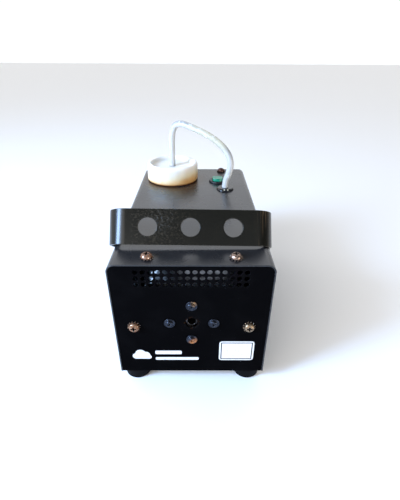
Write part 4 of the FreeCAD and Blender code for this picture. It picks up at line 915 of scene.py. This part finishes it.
def settled_bracket(material):
    """The bracket as it has settled in use: its strap sits a little to the left and out of level."""
    swing = next(joint for joint in frame["joints"] if joint["name"] == "bracket_swing")
    pivot = Vector(swing["pos_m"])
    reach = Vector((0, strap_low.y - pivot.y, strap_high.z - pivot.z)).length
    shift, painted_glint = 1.1 * MM, 0.85 * MM
    bends_from, bends_over = 0.2, 0.7  # shares of the way from the pivots to the strap
    mesh = frame["nodes"]["bracket"].data.copy()
    for vertex in mesh.vertices:
        away = Vector((0, vertex.co.y - pivot.y, vertex.co.z - pivot.z)).length / reach
        share = min(max((away - bends_from) / bends_over, 0.0), 1.0)
        share = share * share * (3 - 2 * share)
        vertex.co += Vector((-shift, 0, -painted_glint * vertex.co.x / strap_high.x)) * share
    mesh.materials.clear()
    mesh.materials.append(material)
    strap = bpy.data.objects.new("settled_bracket", mesh)
    bpy.context.scene.collection.objects.link(strap)
    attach(strap, "bracket")
    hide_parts("bracket")
    soften(strap, 0.35)


def lock_washer(centre, outward):
    """An external-tooth lock washer. Its teeth are twisted, so that each has one edge raised."""
    up = Vector(outward)
    side = up.orthogonal().normalized()
    across = up.cross(side)
    hole, rim, tip, thickness = 2.2 * MM, 3.9 * MM, 5.3 * MM, 0.6 * MM
    segments = 48
    ring = []
    for segment in range(segments):
        angle = 2 * math.pi * segment / segments
        spoke = side * math.cos(angle) + across * math.sin(angle)
        for radius, height in ((hole, 0), (hole, thickness), (rim, thickness), (rim, 0)):
            ring.append(centre + spoke * radius + up * height)
    parts = [(ring, stitched(segments, 4, closed=True))]
    teeth, twist = 12, math.radians(32)
    half_width, half_depth, raised = 0.62 * MM, 0.2 * MM, 0.5 * MM
    root, bend = rim - 0.3 * MM, rim + 0.4 * MM
    for tooth in range(teeth):
        angle = 2 * math.pi * tooth / teeth
        spoke = side * math.cos(angle) + across * math.sin(angle)
        tangent = up.cross(spoke)
        corners = []
        for radius, turn in ((root, 0.0), (bend, twist), (tip, twist)):
            width = tangent * math.cos(turn) + up * math.sin(turn)
            depth = up * math.cos(turn) - tangent * math.sin(turn)
            middle = centre + spoke * radius + up * raised
            for a, b in ((-1, -1), (1, -1), (1, 1), (-1, 1)):
                corners.append(middle + width * half_width * a + depth * half_depth * b)
        faces = stitched(3, 4, closed=False) + [(3, 2, 1, 0), (8, 9, 10, 11)]
        parts.append((corners, faces))
    return gathered(parts)


def lock_washers(material):
    """One washer for each screw of the housing, facing up, to the front or to the back."""
    parts = []
    for low, high in solids_of("toothed_washers"):
        middle = (low + high) / 2
        if high.z - low.z < high.y - low.y:
            parts.append(lock_washer(Vector((middle.x, middle.y, low.z)), (0, 0, 1)))
        elif middle.y < 0:
            parts.append(lock_washer(Vector((middle.x, high.y, middle.z)), (0, -1, 0)))
        else:
            parts.append(lock_washer(Vector((middle.x, low.y, middle.z)), (0, 1, 0)))
    vertices, faces = gathered(parts)
    piece("twisted_tooth_washers", vertices, faces, material, ["toothed_washers"])


def plunger_spring(node, material):
    """A wound spring in place of its plain sleeve."""
    low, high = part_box(node)
    axis = (low + high) / 2
    wire = 0.38 * MM
    radius = (high.x - low.x) / 2 - wire
    turns, steps, sides = 5.5, 24, 8
    count = int(turns * steps)
    vertices = []
    for step in range(count + 1):
        t = step / count
        angle = 2 * math.pi * turns * t
        outwards = Vector((math.cos(angle), math.sin(angle), 0))
        middle = Vector((axis.x, axis.y, low.z + wire + (high.z - low.z - 2 * wire) * t))
        for side in range(sides):
            turn = 2 * math.pi * side / sides
            offset = outwards * (radius + wire * math.cos(turn))
            vertices.append(middle + offset + Vector((0, 0, wire * math.sin(turn))))
    faces = stitched(count + 1, sides, closed=False)
    last = count * sides
    faces += [tuple(range(sides))[::-1], tuple(range(last, last + sides))]
    made = piece(node + "_coil", vertices, faces, material, [node], body=None)
    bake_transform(made)


# ---------------------------------------------------------------- foil blanket and foam pad
def heater_blanket(material):
    """The foil-faced blanket round the block, with a crinkled skin and soft edges."""
    low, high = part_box("heater_insulation")
    middle = (low + high) / 2
    thickness, spacing, rows = 5 * MM, 2 * MM, 44
    coarse, fine, fine_share = 95, 310, 0.6  # the creases, in waves for each metre
    flat_share, deepest = 0.35, 0.03
    half_x, half_z = (high.x - low.x) / 2, (high.z - low.z) / 2
    rounded = bar(-half_x, half_x, -half_z, half_z, 5 * MM)
    outer = []
    for i, point in enumerate(rounded):
        ahead = rounded[(i + 1) % len(rounded)]
        pieces = max(1, round((ahead - point).length / spacing))
        outer += [point.lerp(ahead, k / pieces) for k in range(pieces)]
    vertices = []
    for row in range(rows):
        y = low.y + (high.y - low.y) * row / (rows - 1)
        for point in outer:
            place = Vector((middle.x + point.x, y, middle.z + point.y))
            crease = noise.noise(place * coarse) + fine_share * noise.noise(place * fine)
            shrink = 1 - max(0.0, flat_share + crease) * deepest
            vertices.append((middle.x + point.x * shrink, y, middle.z + point.y * shrink))
    for y in (high.y, low.y):
        for point in outer:
            inset_x = point.x * (half_x - thickness) / half_x
            inset_z = point.y * (half_z - thickness) / half_z
            vertices.append((middle.x + inset_x, y, middle.z + inset_z))
    faces = stitched(rows + 2, len(outer), closed=True)
    piece("foil_blanket", vertices, faces, material, ["heater_insulation"])


def bottle_foam(material):
    """The foam pad under the bottle, pressed flat above and below, with sides that swell."""
    profile = ((0, -0.6), (0.12, -0.1), (0.5, 0.5), (0.88, -0.1), (1, -0.6))  # (share of height, mm)
    low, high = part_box("bottle_pad")
    middle = (low + high) / 2
    rows = []
    for height, swell in profile:
        half_x = (high.x - low.x) / 2 + swell * MM
        half_y = (high.y - low.y) / 2 + swell * MM
        level = low.z + (high.z - low.z) * height
        outline = bar(-half_x, half_x, -half_y, half_y, 5 * MM)
        rows.append([(middle.x + point.x, middle.y + point.y, level) for point in outline])
    count = len(rows[0])
    vertices = [vertex for row in rows for vertex in row]
    faces = stitched(len(rows), count, closed=False)
    last = (len(rows) - 1) * count
    faces += [tuple(range(count))[::-1], tuple(range(last, last + count))]
    pad = piece("foam_pad", vertices, faces, material, ["bottle_pad"])


# ---------------------------------------------------------------- plain printed marks
def disc(x, z, radius):
    steps = 28
    angles = [2 * math.pi * step / steps for step in range(steps)]
    return [Vector((x + radius * math.cos(a), z + radius * math.sin(a))) for a in angles]


def printed_marks(white, black):
    """A small puff of fog with two plain bars on the left, and a blank framed label on the right.

    Their outlines are in mm, across from the middle of the front panel and up from its bottom.
    """
    lift = 0.004  # between one outline and the next, so that no two faces lie in one plane

    def printed(outlines, skin):
        parts = []
        for i, outline in enumerate(outlines):
            placed = [(x * MM, PANEL_BOTTOM + z * MM) for x, z in outline]
            parts.append(plate(placed, PANEL_FACE, (skin + lift * i) * MM))
        return gathered(parts)

    puff = [disc(-49.5, 19.2, 3.4), disc(-45.6, 22.4, 4.6)]
    puff += [disc(-41.0, 20.6, 3.9), disc(-38.4, 18.2, 2.4)]
    bars = [bar(-49.5, -38.4, 15.8, 19.0, 0.8)]
    bars += [bar(-32.5, -9.0, 21.6, 26.0, 1.4), bar(-32.5, 6.0, 14.4, 17.8, 1.2)]
    vertices, faces = printed(puff + bars, 0.06)
    piece("printed_puff", vertices, faces, white)
    vertices, faces = printed([bar(24.0, 54.6, 14.2, 37.4, 3.0)], 0.12)
    piece("blank_label", vertices, faces, white)
    left, right, low, high, line = 25.4, 53.2, 15.6, 36.0, 0.9
    frame_lines = [
        bar(left, right, low, low + line, 0),
        bar(left, right, high - line, high, 0),
        bar(left, left + line, low, high, 0),
        bar(right - line, right, low, high, 0),
    ]
    vertices, faces = printed(frame_lines, 0.15)
    piece("label_frame", vertices, faces, black)


# ---------------------------------------------------------------- the free hose
HOSE_DIAMETER = 7 * MM
HOSE_ROUTE = [  # the control points of its middle line, in mm
    (-25.8, 78.5, 144.6),
    (-25.8, 78.5, 165.6),
    (-25.0, 78.0, 185.1),
    (-18.2, 74.1, 195.6),
    (1.2, 62.8, 190.9),
    (21.2, 51.4, 183.4),
    (36.2, 42.2, 172.1),
    (41.4, 39.4, 158.6),
    (38.8, 40.8, 146.6),
    (35.7, 42.5, 138.1),
    (35.7, 42.5, 131.2),
]


def hose(material):
    """The arch of silicone tube from the dish of the cap to the grommet."""
    curve = bpy.data.curves.new("silicone_hose", "CURVE")
    curve.dimensions = "3D"
    curve.bevel_depth = HOSE_DIAMETER / 2
    curve.bevel_resolution = 8
    curve.resolution_u = 16
    curve.use_fill_caps = True
    spline = curve.splines.new("NURBS")
    spline.points.add(len(HOSE_ROUTE) - 1)
    for point, place in zip(spline.points, HOSE_ROUTE):
        point.co = (*(Vector(place) * MM), 1.0)
    spline.order_u = 3
    spline.use_endpoint_u = True
    tube = bpy.data.objects.new("silicone_hose", curve)
    bpy.context.scene.collection.objects.link(tube)
    curve.materials.append(material)
    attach(tube, "root")
    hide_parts("hose")


# ---------------------------------------------------------------- the whole picture
camera()
studio()
floor().data.materials.append(floor_finish())
finishes = slot_finishes()
dress_cad_nodes(finishes)
hose(finishes["clear_silicone"])
fluid_cap(cap_finish())
settled_bracket(finishes["bracket_paint"])
lock_washers(finishes["yellow_zinc"])
plunger_spring("upper_plunger_spring", finishes["bare_steel"])
plunger_spring("lower_plunger_spring", finishes["bare_steel"])
heater_blanket(finishes["foil"])
bottle_foam(finishes["foam"])
print_white = label_finish("print_white", (0.62, 0.63, 0.64))
print_black = label_finish("print_black", (0.006, 0.006, 0.006))
printed_marks(print_white, print_black)
for name, width in SOFT_EDGES.items():
    soften(frame["nodes"][name], width)
